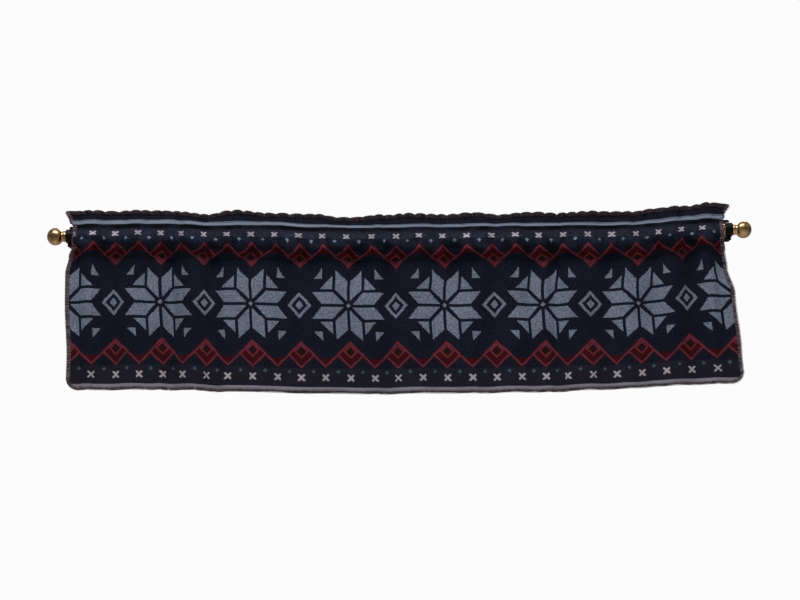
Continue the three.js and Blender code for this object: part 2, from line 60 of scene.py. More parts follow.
camera_data = bpy.data.cameras.new("camera")
camera_data.lens = 99
camera_data.sensor_width = 36
camera = linked("camera", camera_data)
look = (CAMERA_AIM - CAMERA_PLACE).to_track_quat("-Z", "Y").to_matrix().to_4x4()
camera.matrix_world = (
    Matrix.Translation(CAMERA_PLACE) @ look @ Matrix.Rotation(CAMERA_ROLL, 4, "Z")
)
camera_data.clip_end = 60
bpy.context.scene.camera = camera

# ---------------------------------------------------------------------------------------------
# Valance cloth: one piece of thick napped blanket cloth with a woven star border. Its top is
# turned over to the back and stitched down twice, which makes a stand-up heading and the pocket
# that the rod runs through. It hangs gathered in soft vertical folds.
# ---------------------------------------------------------------------------------------------

MM = 0.001
STAR_PITCH = 227.0
CLOTH_WIDTH = 7 * STAR_PITCH
CLOTH_TOP = 212.0  # flat heights, measured from the line through the star centres
HEADING_SEAM = 183.0
POCKET_SEAM = 101.0
TURN_DOWN = 93.0
CLOTH_HEM = -205.0
CORNER_RADIUS = 28.0
CLOTH_THICKNESS = 2.0
HALF_CLOTH = 1.1  # from the join of the two layers to the middle of one
ROD_STAND_OFF = 90.0
REST_HEIGHT = 13.4
SEAM_SET_BACK = -4.0
HEADING_LEAN = -3.0
BELLY_TAKE_UP = 2.0
GATHER_FADE = 90.0
GATHERS, FIRST_GATHER, GATHER_PITCH, GATHER_HALF_WIDTH = 27, -690, 53.2, 22
CREST_LEVEL, LOBE_PITCH = 209.6, 26.5  # the overcasting draws the top fold down between lobes
EDGE_INSIDE = 1.8  # the cloth's cut edge lies this far inside the outer edge of its edging

# Flat height, left edge, right edge of the gathered cloth.
SIDE_EDGES = np.array([
    (-205, -754, 774), (-130, -753, 770), (0, -759, 760), (60, -759, 744), (101, -751, 739.5),
    (125, -742, 736), (172, -742, 737), (186, -751, 741.5), (212, -761, 755),
], float)

# Place at the pocket, place at the hem, half width, depth at the pocket, depth at the hem.
PANEL_FOLDS = np.array([
    (-706, -708, 24, -15, -8), (-655, -655, 32, 7, 6), (-606, -610, 34, -7, -6),
    (-562, -564, 26, 6, 6), (-522, -520, 27, 17, 18), (-470, -470, 32, -14, -14),
    (-420, -418, 27, 12, 17), (-312, -318, 45, -7, -4), (-258, -255, 45, 6, 6),
    (-150, -155, 50, -8, -6), (-88, -84, 45, 6, 4), (-24, -30, 32, 8, 11),
    (40, 40, 50, -8, -6), (130, 125, 42, 7, 4), (190, 194, 34, -8, 9),
    (250, 250, 42, -9, -7), (300, 305, 30, 7, 6), (350, 358, 27, 11, 15),
    (415, 415, 48, -11, -7), (478, 470, 34, 8, 4), (520, 516, 40, -8, -4),
    (575, 572, 32, 8, 5), (618, 618, 34, -11, -5), (660, 664, 28, 8, 5),
    (700, 714, 24, -15, -5),
], float)

# Place across the flat cloth, how far the gathers are pushed along the rod on the hanging panel,
# how much further just under the pocket, how far in the pocket and the heading, and how much
# further across the upper petals.
GATHER_PUSH = np.array([
    (-795, 0, 0, 0, 0), (-740, 1.5, 2, -6, 0), (-690, 3, 3, -8, 0), (-583, -1, 3, -9.6, 0),
    (-481, -1, 3, -18, 0), (-370, -1, 8, -18, 0), (-307, -2, 8, -17, 0), (-130, -5, 6.5, -14.5, 4),
    (0, -7, 7.5, -6, 6), (104, -9, 9, -8, 7.5), (225, -8.5, 12, -3, 7.5), (343, -8, 14, 0.5, 7.5),
    (461, -8, 10, 4.8, 8), (581, -8, 9, 8, 8.5), (692, -5, 1, 5.5, 7), (795, 0, 0, 0, 0),
], float)

# Flat height, furthest fold towards the wall, furthest fold towards the room.
FOLD_LIMITS = np.array([
    (-205, 22, 22), (101, 20, 18), (125, 8, 10), (140, 0.6, 8), (176, 0.6, 11), (184, 3, 12),
    (212, 11, 12),
], float)

# Place along the rod, how far the heading seam rides above the rod, how much taller the heading
# stands, how deep the pocket hangs, how far the panel's lower half is drawn up.
HANGING = np.array([
    (-760, 17.9, -2, 79.5, 0), (-530, 17.9, -2, 79.5, 0), (-450, 11.4, -6.5, 77, 0),
    (-377, 11.5, 3.5, 79.5, 0), (-286, 10, -4, 81, 0), (-196, 3, 1.5, 77.5, 0), (-140, 0, -6, 76, 0),
    (-36, 0, 0, 77, 0), (9, 0, 3.5, 77, 0), (80, 0, 0, 77, 0), (165, 0, 3, 77, 0),
    (237, 0, -3, 77, 0), (310, 0, 5, 77.5, 1), (373, 0, 0, 78, 3), (440, 0, 4, 79, 6),
    (525, 0, 1.5, 78.5, 8), (585, 5.5, 3.5, 77.5, 6), (660, 13, 2, 77.5, 1), (714, 15, 5.5, 77.5, 0),
    (760, 15, 0.5, 77, 0),
], float)

# Flat height, out from the rod's axis, up from it: inner face of the pocket's front layer, which
# is slack and bellies out under the rod.
POCKET_FRONT = np.array([
    (101, -4, -59), (109, -11.2, -53.4), (118, -18.6, -46.6), (126, -23.4, -39.6),
    (133, -25.2, -32.6), (139, -24.2, -26.5), (145, -21.5, -21.2), (151, -18.6, -15.9),
    (157, -16.2, -9.9), (164, -14.3, -2.6), (170, -13.2, 4), (175, -10.4, 8.8), (183, -4, 13.4),
], float)
# The same for its back layer, which lies closer to the rod, with the share of the seam's ride
# that each height takes and how far it follows the folds.
POCKET_BACK = np.array([
    (101, -4, -59, 0, 1), (130, 12.5, -24, 0, 0), (148, 15, -6, 0, 0),
    (160, 13.8, 4.5, 0.2, 0), (169, 9, 11.2, 0.5, 0), (176, 2, 13.9, 0.8, 0.4),
    (183, -4, 13.4, 1, 1),
], float)


def eased(rows, column, at):
    """One column of a table whose first column is the place, eased from row to row."""
    places, values = rows[:, 0], rows[:, column]
    row = np.clip(np.searchsorted(places, at) - 1, 0, len(places) - 2)
    share = np.clip((at - places[row]) / (places[row + 1] - places[row]), 0, 1)
    return values[row] + (values[row + 1] - values[row]) * share * share * (3 - 2 * share)


def curved(rows, column, at):
    """The same column on one smooth curve through the rows."""
    places, values = rows[:, 0], rows[:, column]
    slopes = np.gradient(values, places)
    row = np.clip(np.searchsorted(places, at) - 1, 0, len(places) - 2)
    span = places[row + 1] - places[row]
    t = np.clip((at - places[row]) / span, 0, 1)
    start = (2 * t**3 - 3 * t**2 + 1) * values[row] + (t**3 - 2 * t**2 + t) * span * slopes[row]
    end = (3 * t**2 - 2 * t**3) * values[row + 1] + (t**3 - t**2) * span * slopes[row + 1]
    return start + end


def bell(distance):
    return np.where(np.abs(distance) < 1, 0.5 * (1 + np.cos(np.pi * distance)), 0)


def fold_depth(along, height):
    """Depth of all folds along one course of the weave; positive goes towards the wall."""
    up = np.clip((height - CLOTH_HEM) / (POCKET_SEAM - CLOTH_HEM), 0, 1)
    above = np.clip((height - POCKET_SEAM) / (CLOTH_TOP - POCKET_SEAM), 0, 1)
    depth = np.zeros_like(along)
    for at_pocket, at_hem, half_width, pocket_depth, hem_depth in PANEL_FOLDS:
        centre = at_hem + (at_pocket - at_hem) * up
        reach = (hem_depth + (pocket_depth - hem_depth) * up) * (1 - 0.45 * above)
        depth += reach * bell((along - centre) / half_width)
    held = np.clip((height - POCKET_SEAM + GATHER_FADE) / GATHER_FADE, 0, 1) ** 1.5
    for i in range(GATHERS):
        centre = FIRST_GATHER + GATHER_PITCH * i + 7 * math.sin(2.3 * i)
        reach = 4.6 + 1.6 * math.sin(1.7 * i + 0.5)
        gather = bell((along - centre) / GATHER_HALF_WIDTH)
        depth += held * (reach if i % 2 else -reach) * gather
    most = np.where(depth > 0, eased(FOLD_LIMITS, 1, height), eased(FOLD_LIMITS, 2, height))
    return most * np.tanh(depth / most)


# Where the flat cloth lies once gathered, on a lattice of flat points: place along and depth.
lattice_across = np.linspace(-CLOTH_WIDTH / 2, CLOTH_WIDTH / 2, 801)
lattice_height = np.linspace(CLOTH_HEM, CLOTH_TOP, 209)
lattice_along = np.empty((len(lattice_height), len(lattice_across)))
lattice_depth = np.empty_like(lattice_along)
for level, level_height in enumerate(lattice_height):
    course = np.linspace(
        eased(SIDE_EDGES, 1, level_height), eased(SIDE_EDGES, 2, level_height), 801
    )
    course_depth = fold_depth(course, level_height)
    steps = np.hypot(np.diff(course), np.diff(course_depth))
    length = np.concatenate([[0], np.cumsum(steps)])
    wanted = (lattice_across / CLOTH_WIDTH + 0.5) * length[-1]
    held = np.clip((level_height - 50) / 100, 0, 1)
    wanted += eased(GATHER_PUSH, 1, lattice_across) * (1 - held)
    wanted += eased(GATHER_PUSH, 2, lattice_across) * bell((level_height - 88) / 60)
    wanted += eased(GATHER_PUSH, 3, lattice_across) * held
    wanted += eased(GATHER_PUSH, 4, lattice_across) * bell((level_height - 50) / 42)
    lattice_along[level] = np.interp(wanted, length, course)
    lattice_depth[level] = np.interp(wanted, length, course_depth)


def gathered(across, height):
    """Place along the rod and fold depth of flat points, between the lattice's own."""
    column = (across - lattice_across[0]) / (lattice_across[1] - lattice_across[0])
    row = (height - lattice_height[0]) / (lattice_height[1] - lattice_height[0])
    column = np.clip(column, 0, len(lattice_across) - 1.001)
    row = np.clip(row, 0, len(lattice_height) - 1.001)
    i, j = column.astype(int), row.astype(int)
    s, t = column - i, row - j
    found = []
    for lattice in (lattice_along, lattice_depth):
        low = lattice[j, i] * (1 - s) + lattice[j, i + 1] * s
        high = lattice[j + 1, i] * (1 - s) + lattice[j + 1, i + 1] * s
        found.append(low * (1 - t) + high * t)
    return found


def pocket_place(rows, along, fold, height, ride_share):
    """A point of the pocket's inner face, where the seam rides and the pocket hangs deeper."""
    ride = eased(HANGING, 1, along)
    lowest = POCKET_FRONT[0, 2]
    up = curved(rows, 2, height)
    below = np.clip(up / lowest, 0, 1)
    seam_drop = REST_HEIGHT + ride - pocket_drop(along)
    z = up + ride_share * ride + below * (seam_drop - lowest - ride_share * ride)
    return np.stack([along, -ROD_STAND_OFF + curved(rows, 1, height) + fold, z], -1)


def pocket_drop(along):
    """How far the pocket's seam hangs below the heading's: less than the flat cloth's length."""
    return eased(HANGING, 3, along) - BELLY_TAKE_UP


def hung(across, height):
    """The surface where the cloth's front layer has its back: flat points, hung."""
    along, depth = gathered(across, height)
    seam_up = REST_HEIGHT + eased(HANGING, 1, along)
    y = -ROD_STAND_OFF + SEAM_SET_BACK + depth
    tall = CLOTH_TOP - HEADING_SEAM
    share = np.maximum(height - HEADING_SEAM, 0) / tall
    heading_up = seam_up + share * (tall + eased(HANGING, 2, along))
    heading = np.stack([along, y + HEADING_LEAN * share, heading_up], -1)
    panel_long = 1 + BELLY_TAKE_UP / (POCKET_SEAM - CLOTH_HEM)
    drawn_up = eased(HANGING, 4, along) * np.clip(height / CLOTH_HEM, 0, 1)
    panel_up = seam_up - pocket_drop(along) - (POCKET_SEAM - height) * panel_long + drawn_up
    panel = np.stack([along, y, panel_up], -1)
    front_share = 0.75 + 0.25 * np.clip((height - 170) / (HEADING_SEAM - 170), 0, 1)
    pocket = pocket_place(POCKET_FRONT, along, depth, height, front_share)
    place = np.where((height >= HEADING_SEAM)[..., None], heading, pocket)
    return np.where((height <= POCKET_SEAM)[..., None], panel, place)


def hung_back(across, height):
    """Inner face of the pocket's back layer, between the two seams."""
    along, depth = gathered(across, height)
    near_seam = np.maximum(
        np.clip((height - 176) / (HEADING_SEAM - 176), 0, 1),
        np.clip((130 - height) / (130 - POCKET_SEAM), 0, 1),
    )
    fold = np.minimum(depth, 0) * (1 - near_seam) + depth * near_seam
    follow = np.clip(curved(POCKET_BACK, 4, height), 0, 1)
    return pocket_place(POCKET_BACK, along, fold * follow, height, curved(POCKET_BACK, 3, height))


def unit(vectors):
    return vectors / np.maximum(np.linalg.norm(vectors, axis=-1, keepdims=True), 1e-9)


def backward(surface, across, height, step=1.5):
    """Unit vectors out of the back of a surface of the cloth."""
    edge = CLOTH_WIDTH / 2
    right = surface(np.minimum(across + step, edge), height)
    left = surface(np.maximum(across - step, -edge), height)
    up = surface(across, np.minimum(height + step, CLOTH_TOP))
    down = surface(across, np.maximum(height - step, CLOTH_HEM))
    return unit(np.cross(up - down, right - left))


def crest_height(across):
    """Flat height of the cloth's top fold: it dips where the overcasting draws it together."""
    wander = 6 * np.sin(across / 71) + 3 * np.sin(across / 23 + 1)
    lobe = np.abs(np.sin(np.pi * (across + wander) / LOBE_PITCH))
    strength = 3.7 + 0.8 * np.sin(across / 57 + 0.7)
    fading = np.clip((780 - np.abs(across)) / 40, 0, 1)
    return CREST_LEVEL - strength * (1 - np.sqrt(lobe)) * fading


CREASE_HEIGHT = 170.0


def puckers(across, height):
    """How far the face stands towards the room: ripples beside the two seams, a soft roll along
    the heading with a crease under it, and slow uneven swells."""
    wave = 0.5 + 0.5 * np.sin(across / 2.6 + 1.8 * np.sin(across / 11) + 2 * np.sin(across / 37))
    wave = wave * (0.65 + 0.35 * np.sin(across / 19 + 2))
    at_heading = np.exp(-(np.abs(height - HEADING_SEAM) / 7) ** 1.5)
    uneven = 0.8 + 0.2 * np.sin(across / 41 + 2) * np.sin(across / 97)
    up_roll = np.clip((height - CREASE_HEIGHT) / (204 - CREASE_HEIGHT), 0, 1)
    roll = 3.6 * uneven * np.sin(np.pi * up_roll**0.75)
    roll -= 1.1 * uneven * np.exp(-(((height - CREASE_HEIGHT + 0.5) / 2.4) ** 2))
    at_pocket = np.exp(-(np.abs(height - POCKET_SEAM) / 11) ** 1.5)
    swell = np.sin(across / 31 + 0.9 * np.sin(height / 47)) * np.sin(height / 39 + across / 83)
    below = np.clip((POCKET_SEAM - height) / 60, 0, 1)
    slack_shading_band = np.exp(-((height - 140) / 20) ** 2)
    lump_wave = np.sin(across / 23 + height / 9 + 2.2 * np.sin(across / 61))
    lumps = 1 + lump_wave * np.sin(height / 7 - across / 47)
    return 0.9 * wave * (at_heading + at_pocket) + 0.9 * swell * below + 2.0 * lumps * slack_shading_band + roll


# Stations across the flat cloth, closer together in the rounded lower corners.
cloth_half = CLOTH_WIDTH / 2 - EDGE_INSIDE
corner = CORNER_RADIUS - EDGE_INSIDE
turn = np.linspace(0, math.pi / 2, 10)
corner_across = cloth_half - corner + corner * np.sin(turn)
across_stations = np.concatenate([
    -corner_across[::-1], np.linspace(-corner_across[0], corner_across[0], 341)[1:-1], corner_across
])
inside_corner = np.maximum(np.abs(across_stations) - (cloth_half - corner), 0)
foot = CLOTH_HEM + CORNER_RADIUS - np.sqrt(np.maximum(corner**2 - inside_corner**2, 0))
crest = crest_height(across_stations)


# Front layer from the foot to the crest, the fold over the top, the back layer down to its end.
def level_rows(start, end, count):
    return [np.full_like(foot, h) for h in np.linspace(start, end, count)[1:]]


FOOT_ROWS_END = -150
front_rows = [foot + (FOOT_ROWS_END - foot) * share for share in np.linspace(0, 1, 9)]
front_rows += level_rows(FOOT_ROWS_END, POCKET_SEAM, 37)
front_rows += level_rows(POCKET_SEAM, HEADING_SEAM, 42)
front_rows += [HEADING_SEAM + (crest - HEADING_SEAM) * s for s in np.linspace(0, 1, 15)[1:]]
back_rows = [HEADING_SEAM + (crest - HEADING_SEAM) * s for s in np.linspace(1, 0, 8)]
back_rows += level_rows(HEADING_SEAM, POCKET_SEAM, 22) + level_rows(POCKET_SEAM, TURN_DOWN, 3)
CREST_TURN = np.radians([36, 72, 108, 144])
FOLD_LENGTH = math.pi * HALF_CLOTH

sheet_rows, sheet_flat = [], []
for height in front_rows:
    out = backward(hung, across_stations, height)
    stand = HALF_CLOTH + puckers(across_stations, height)
    sheet_rows.append(hung(across_stations, height) - out * stand[:, None])
    sheet_flat.append(height)
top_line = hung(across_stations, crest)
top_out = backward(hung, across_stations, crest)
top_up = unit(top_line - hung(across_stations, crest - 3))
for angle in CREST_TURN:
    around = top_up * math.sin(angle) - top_out * math.cos(angle)
    sheet_rows.append(top_line + around * HALF_CLOTH)
    sheet_flat.append(crest + FOLD_LENGTH * angle / math.pi)
for height in back_rows:
    in_pocket = (height < HEADING_SEAM - 0.01) & (height > POCKET_SEAM + 0.01)
    front_place = hung(across_stations, height)
    front_out = backward(hung, across_stations, height)
    back_place = hung_back(across_stations, height)
    back_out = backward(hung_back, across_stations, height)
    place = np.where(in_pocket[:, None], back_place, front_place)
    out = np.where(in_pocket[:, None], back_out, front_out)
    sheet_rows.append(place + out * HALF_CLOTH)
    sheet_flat.append(2 * crest + FOLD_LENGTH - height)
sheet_places = np.array(sheet_rows)
sheet_flat = np.array(sheet_flat)


def mesh_object(name, vertices, faces):
    data = bpy.data.meshes.new(name)
    data.from_pydata([tuple(map(float, v)) for v in vertices], [], faces)
    data.polygons.foreach_set("use_smooth", [True] * len(data.polygons))
    return linked(name, data)


def grid_faces(rows, columns):
    return [
        (j * columns + i, j * columns + i + 1, (j + 1) * columns + i + 1, (j + 1) * columns + i)
        for j in range(rows - 1)
        for i in range(columns - 1)
    ]


def flat_map(made, name, flat_points):
    """A UV map that holds each vertex's place on the flat cloth, in metres."""
    layer = made.data.uv_layers.new(name=name)
    loops = np.empty(len(made.data.loops), np.int32)
    made.data.loops.foreach_get("vertex_index", loops)
    layer.data.foreach_set("uv", np.asarray(flat_points, np.float32)[loops].ravel())


row_count, column_count = sheet_places.shape[:2]
cloth_sheet = mesh_object(
    "border_cloth", sheet_places.reshape(-1, 3) * MM, grid_faces(row_count, column_count)
)
flat_across = np.broadcast_to(across_stations, sheet_flat.shape)
flat_map(cloth_sheet, "flat_cloth", np.stack([flat_across, sheet_flat], -1).reshape(-1, 2) * MM)

# The weave's pattern, built of nodes.


class Output:
    """A node's output. Arithmetic with it adds a Math node to the same tree."""

    def __init__(self, owner, key=0):
        self.tree, self.socket = owner.id_data, owner.outputs[key]

    def math(self, operation, *values, clamp=False):
        numbers = dict(enumerate(values))
        return Output(new_node(
            self.tree, "ShaderNodeMath", numbers, operation=operation, use_clamp=clamp
        ))

    def __add__(self, other):
        return self.math("ADD", self, other)

    def __sub__(self, other):
        return self.math("SUBTRACT", self, other)

    def __rsub__(self, other):
        return self.math("SUBTRACT", other, self)

    def __mul__(self, other):
        return self.math("MULTIPLY", self, other)

    def __truediv__(self, other):
        return self.math("DIVIDE", self, other)

    def __rtruediv__(self, other):
        return self.math("DIVIDE", other, self)

    def __abs__(self):
        return self.math("ABSOLUTE", self)

    def line(self, scale, offset, clamp=False):
        """self * scale + offset, in one node"""
        return self.math("MULTIPLY_ADD", self, scale, offset, clamp=clamp)

    def above_zero(self):
        return self.math("GREATER_THAN", self, 0.0)

    def sine(self):
        return self.math("SINE", self)


def plug(socket, value):
    """Links an output to a node's input, or writes a plain value into it."""
    if isinstance(value, Output):
        socket.id_data.links.new(value.socket, socket)
    else:
        socket.default_value = value


def new_node(tree, kind, inputs=None, **settings):
    """A node with its settings, and with what its inputs are given, by name or number."""
    made = tree.nodes.new(kind)
    for key, value in settings.items():
        setattr(made, key, value)
    for key, value in (inputs or {}).items():
        plug(made.inputs[key], value)
    return made


def chained(operation, values):
    result = values[0]
    for value in values[1:]:
        result = result.math(operation, result, value)
    return result


def least(*values):
    return chained("MINIMUM", values)


def most(*values):
    return chained("MAXIMUM", values)


def parts(vector):
    """The three numbers of a vector."""
    made = new_node(vector.tree, "ShaderNodeSeparateXYZ", {0: vector})
    return [Output(made, i) for i in range(3)]


def mixed(factor, first, second):
    made = new_node(factor.tree, "ShaderNodeMix", data_type="RGBA", blend_type="MIX")
    plug(made.inputs["Factor"], factor)
    for label, colour in (("A", first), ("B", second)):
        plug(next(s for s in made.inputs if s.name == label and s.type == "RGBA"), colour)
    return Output(made, [s.type for s in made.outputs].index("RGBA"))


def noise(place, scale, detail=2.0, roughness=0.5):
    return Output(new_node(place.tree, "ShaderNodeTexNoise", {
        "Vector": place, "Scale": scale, "Detail": detail, "Roughness": roughness
    }), "Fac")


def ramp(factor, low, high):
    return Output(new_node(factor.tree, "ShaderNodeMapRange", {
        "Value": factor, "From Min": low, "From Max": high
    }, interpolation_type="SMOOTHSTEP"), "Result")


def new_group(name, inputs, outputs):
    """An empty shader node group, with what it is given and where its results go."""
    tree = bpy.data.node_groups.new(name, "ShaderNodeTree")
    for label, kind, value in inputs:
        socket = tree.interface.new_socket(label, in_out="INPUT", socket_type=kind)
        if value is not None:
            socket.default_value = value
    for label, kind in outputs:
        tree.interface.new_socket(label, in_out="OUTPUT", socket_type=kind)
    start, end = tree.nodes.new("NodeGroupInput"), tree.nodes.new("NodeGroupOutput")
    return tree, {row[0]: Output(start, row[0]) for row in inputs}, end.inputs


NUMBER, COLOUR, VECTOR = "NodeSocketFloat", "NodeSocketColor", "NodeSocketVector"

# Woven border: masks of each yarn colour on the flat cloth, stepped by the weave.
border, border_given, border_masks = new_group(
    "woven_border",
    [("Flat", VECTOR, None), ("Pitch", NUMBER, STAR_PITCH), ("Weave step", NUMBER, 1.7)],
    [(label, NUMBER) for label in ("Petals", "Zigzag", "Filling", "Crosses", "Dots", "Stripe",
                                   "Hearts", "Star band", "Zigzag band", "Red haze")],
)
HALF_WEAVE_STEP = 0.85


def stepped(metres):
    """Metres as millimetres, in whole steps of the weave."""
    return metres.math("SNAP", metres.line(1000.0, HALF_WEAVE_STEP), border_given["Weave step"])


across_mm, height_mm = [stepped(part) for part in parts(border_given["Flat"])[:2]]
# The star line lies a little below the middle, and the upper border's spacing differs a little
# from the lower one's: where each difference begins and ends, and how large it is.
closer = ramp(height_mm, 64.0, 82.0).line(-4.0, 5.5)
for begins, ends, difference in ((90.0, 130.0, 6.0), (126.0, 146.0, 2.4), (166.0, 178.0, -2.4)):
    closer = ramp(height_mm, begins, ends).line(difference, closer)
on_top = height_mm.above_zero()
up_mm = abs(height_mm + closer)


def from_repeat(period, shift):
    """Distance from the nearest of the places that repeat every period."""
    turns = across_mm / period + shift
    return abs(turns - turns.math("ROUND", turns)) * period


half_pitch = border_given["Pitch"] * 0.5
quarter_pitch = border_given["Pitch"] * 0.25
from_star = from_repeat(border_given["Pitch"], 0.5)
from_point = from_repeat(half_pitch, 0.0)

PETAL_INNER, PETAL_OUTER = 3.4, 30.4  # a petal's two sides, from its star's middle line
STAR_DOT, DIAMOND_WIDE, DIAMOND_TALL = 5.6, 28.0, 30.0
ZIGZAG_NEAR, ZIGZAG_FAR, LINE_HALF = 85.0, 139.5, 2.9
OUTER_NEST, INNER_NEST = 112.5, 105.0
CROSS_LINE, DOT_LINE, STRIPE_LINE = 164.5, 151.0, 190.0
STAR_BAND_TOP, ZIGZAG_BAND_TOP = 81.0, 144.0


def petal(beside, out, tip):
    """A petal that points along out."""
    sides = least(beside.line(1.0, -PETAL_INNER), beside.line(-1.0, PETAL_OUTER))
    return least(out - beside.line(0.95, 7.0), beside.line(0.83, tip) - out, sides)


def right_triangle(corner_x, corner_z, leg_x, leg_z):
    x = from_star.line(1.0 / leg_x, -corner_x / leg_x)
    z = up_mm.line(1.0 / leg_z, -corner_z / leg_z)
    return least(x, z, 1.0 - (x + z))


def beyond(value, start):
    return value.line(1.0, -start)


def within(value, end):
    return value.line(-1.0, end)


diamond = (half_pitch - from_star) / DIAMOND_WIDE + up_mm / DIAMOND_TALL
petals = most(
    petal(from_star, up_mm, 53.0),
    petal(up_mm, from_star, 58.5),
    right_triangle(37.4, 37.4, 27.7, 28.6),
    right_triangle(61.5, 60.0, 19.5, 21.0),
    STAR_DOT - (from_star + up_mm),
    least(beyond(diamond, 0.7), within(diamond, 1.0)),
    within(diamond, 0.34),
)

run = from_point * ((ZIGZAG_FAR - ZIGZAG_NEAR) / quarter_pitch)
zigzag_line = run + ZIGZAG_NEAR
off_line = abs(up_mm - zigzag_line)
outer_nest = run + abs(beyond(up_mm, OUTER_NEST))
inner_nest = run + abs(beyond(up_mm, INNER_NEST))
zigzags = most(
    LINE_HALF - off_line,
    LINE_HALF - abs(beyond(outer_nest, 28.6)),
    LINE_HALF - abs(beyond(inner_nest, 13.6)),
)
nest_band = least(within(outer_nest, 25.4), beyond(inner_nest, 16.5))
valley = least(beyond(up_mm, 121.0), zigzag_line - up_mm.line(1.0, LINE_HALF))

cross_x = from_repeat(quarter_pitch, 0.0)
cross_z = abs(beyond(up_mm, CROSS_LINE)) * on_top.line(0.22, 1.0)
cross_arm = on_top.line(0.7, 3.3) - abs(cross_x - cross_z)
dot = from_repeat(quarter_pitch, 0.5) + abs(beyond(up_mm, DOT_LINE))
stripe_off = abs(up_mm - on_top.line(-0.9, STRIPE_LINE))
for label, inside in (
    ("Petals", petals), ("Zigzag", zigzags), ("Filling", most(nest_band, valley)),
    ("Hearts", within(inner_nest, 11.0)),
    ("Crosses", least(within(most(cross_x, cross_z), 7.8), cross_arm)),
    ("Dots", within(dot, 4.7)), ("Stripe", on_top.line(2.0, 4.6) - stripe_off),
    ("Star band", within(up_mm, STAR_BAND_TOP)),
    ("Zigzag band", least(beyond(up_mm, STAR_BAND_TOP), within(up_mm, ZIGZAG_BAND_TOP))),
):
    plug(border_masks[label], inside.above_zero())
plug(border_masks["Red haze"], most(ramp(off_line, 15.0, 2.0), ramp(outer_nest, 42.0, 28.0)))

# Blanket weave: a coarse broken twill under a brushed nap. Gives its relief and the share of the
# surface where flecks of the other yarn show, with noises for heather, soiling and painted wrinkle
# shading.
weave, weave_given, weave_results = new_group(
    "blanket_weave",
    [("Flat", VECTOR, None), ("Yarn", NUMBER, 1.7), ("Nap", NUMBER, 0.6)],
    [(label, NUMBER) for label in ("Relief", "Flecks", "Heather", "Soiling", "Painted wrinkle shading")],
)
flat_mm = Output(new_node(
    weave, "ShaderNodeVectorMath", {0: weave_given["Flat"], "Scale": 1000.0}, operation="SCALE"
))
weave_across, weave_up, _ = parts(flat_mm)
yarn_turns = 2 * math.pi / weave_given["Yarn"]
plain_weave = (weave_across * yarn_turns).sine() * (weave_up * yarn_turns).sine()
twill = ((weave_across + weave_up) * (yarn_turns * 0.5)).sine()
nap_part = noise(flat_mm, 0.9, 4.0, 0.65) * (weave_given["Nap"] * 3.0)
relief = (plain_weave + twill * 0.6).line(0.22, nap_part)
plug(weave_results["Relief"], noise(flat_mm, 0.16, 3.0, 0.6).line(0.8, relief))
fleck_place = Output(new_node(
    weave, "ShaderNodeMapping", {"Vector": flat_mm, "Scale": (0.62, 0.34, 1.0)}, vector_type="POINT"
))
for label, place, scale, detail, roughness, low, high in (
    ("Flecks", fleck_place, 1.0, 2.0, 0.7, 0.56, 0.7),
    ("Heather", flat_mm, 0.21, 5.0, 0.8, 0.36, 0.64),
    ("Soiling", flat_mm, 0.011, 4.0, 0.6, 0.35, 0.68),
    ("Painted wrinkle shading", flat_mm, 0.034, 3.0, 0.55, 0.36, 0.64),
):
    plug(weave_results[label], ramp(noise(place, scale, detail, roughness), low, high))


def linear(red, green, blue):
    """A colour that is stated as it shows on a screen, 0 to 255, as Blender takes it."""
    shares = [v / 255 for v in (red, green, blue)]
    light = [s / 12.92 if s <= 0.04045 else ((s + 0.055) / 1.055) ** 2.4 for s in shares]
    return (*light, 1.0)


def new_material(name, roughness, sheen=0.0, metallic=0.0, specular=0.5):
    made = bpy.data.materials.new(name)
    made.use_nodes = True
    tree = made.node_tree
    shader = next(n for n in tree.nodes if n.type == "BSDF_PRINCIPLED")
    for label, value in (("Roughness", roughness), ("Metallic", metallic),
                         ("Specular IOR Level", specular), ("Sheen Weight", sheen)):
        shader.inputs[label].default_value = value
    return made, tree, shader


def bump_to(shader, height, distance, strength=1.0):
    plug(shader.inputs["Normal"], Output(new_node(height.tree, "ShaderNodeBump", {
        "Strength": strength, "Distance": distance, "Height": height
    })))


NAVY, NAVY_LIGHT = linear(10, 12, 22), linear(25, 27, 40)
PETAL_GREY, PETAL_PALE = linear(74, 80, 96), linear(122, 127, 142)
RED, RED_DARK, DEEP_RED = linear(109, 45, 54), linear(76, 30, 39), linear(52, 11, 16)
WARM_NAVY, FOOT_NAVY = linear(38, 18, 25), linear(48, 43, 51)
HEART_BROWN, HEADING_GREY = linear(34, 14, 18), linear(100, 107, 122)
CROSS_WHITE, CROSS_DULL, HEM_GREY = linear(154, 147, 152), linear(140, 133, 142), linear(122, 118, 130)
# The last navy here is painted light, for the top of the rod pocket.
DOT_BLUE, DOT_PALE, PAINTED_LIT_NAVY = linear(60, 76, 86), linear(88, 98, 114), linear(48, 48, 62)
# Painted shade for the crease under the heading.
PAINTED_CREASE_SHADE = linear(5, 5, 8)


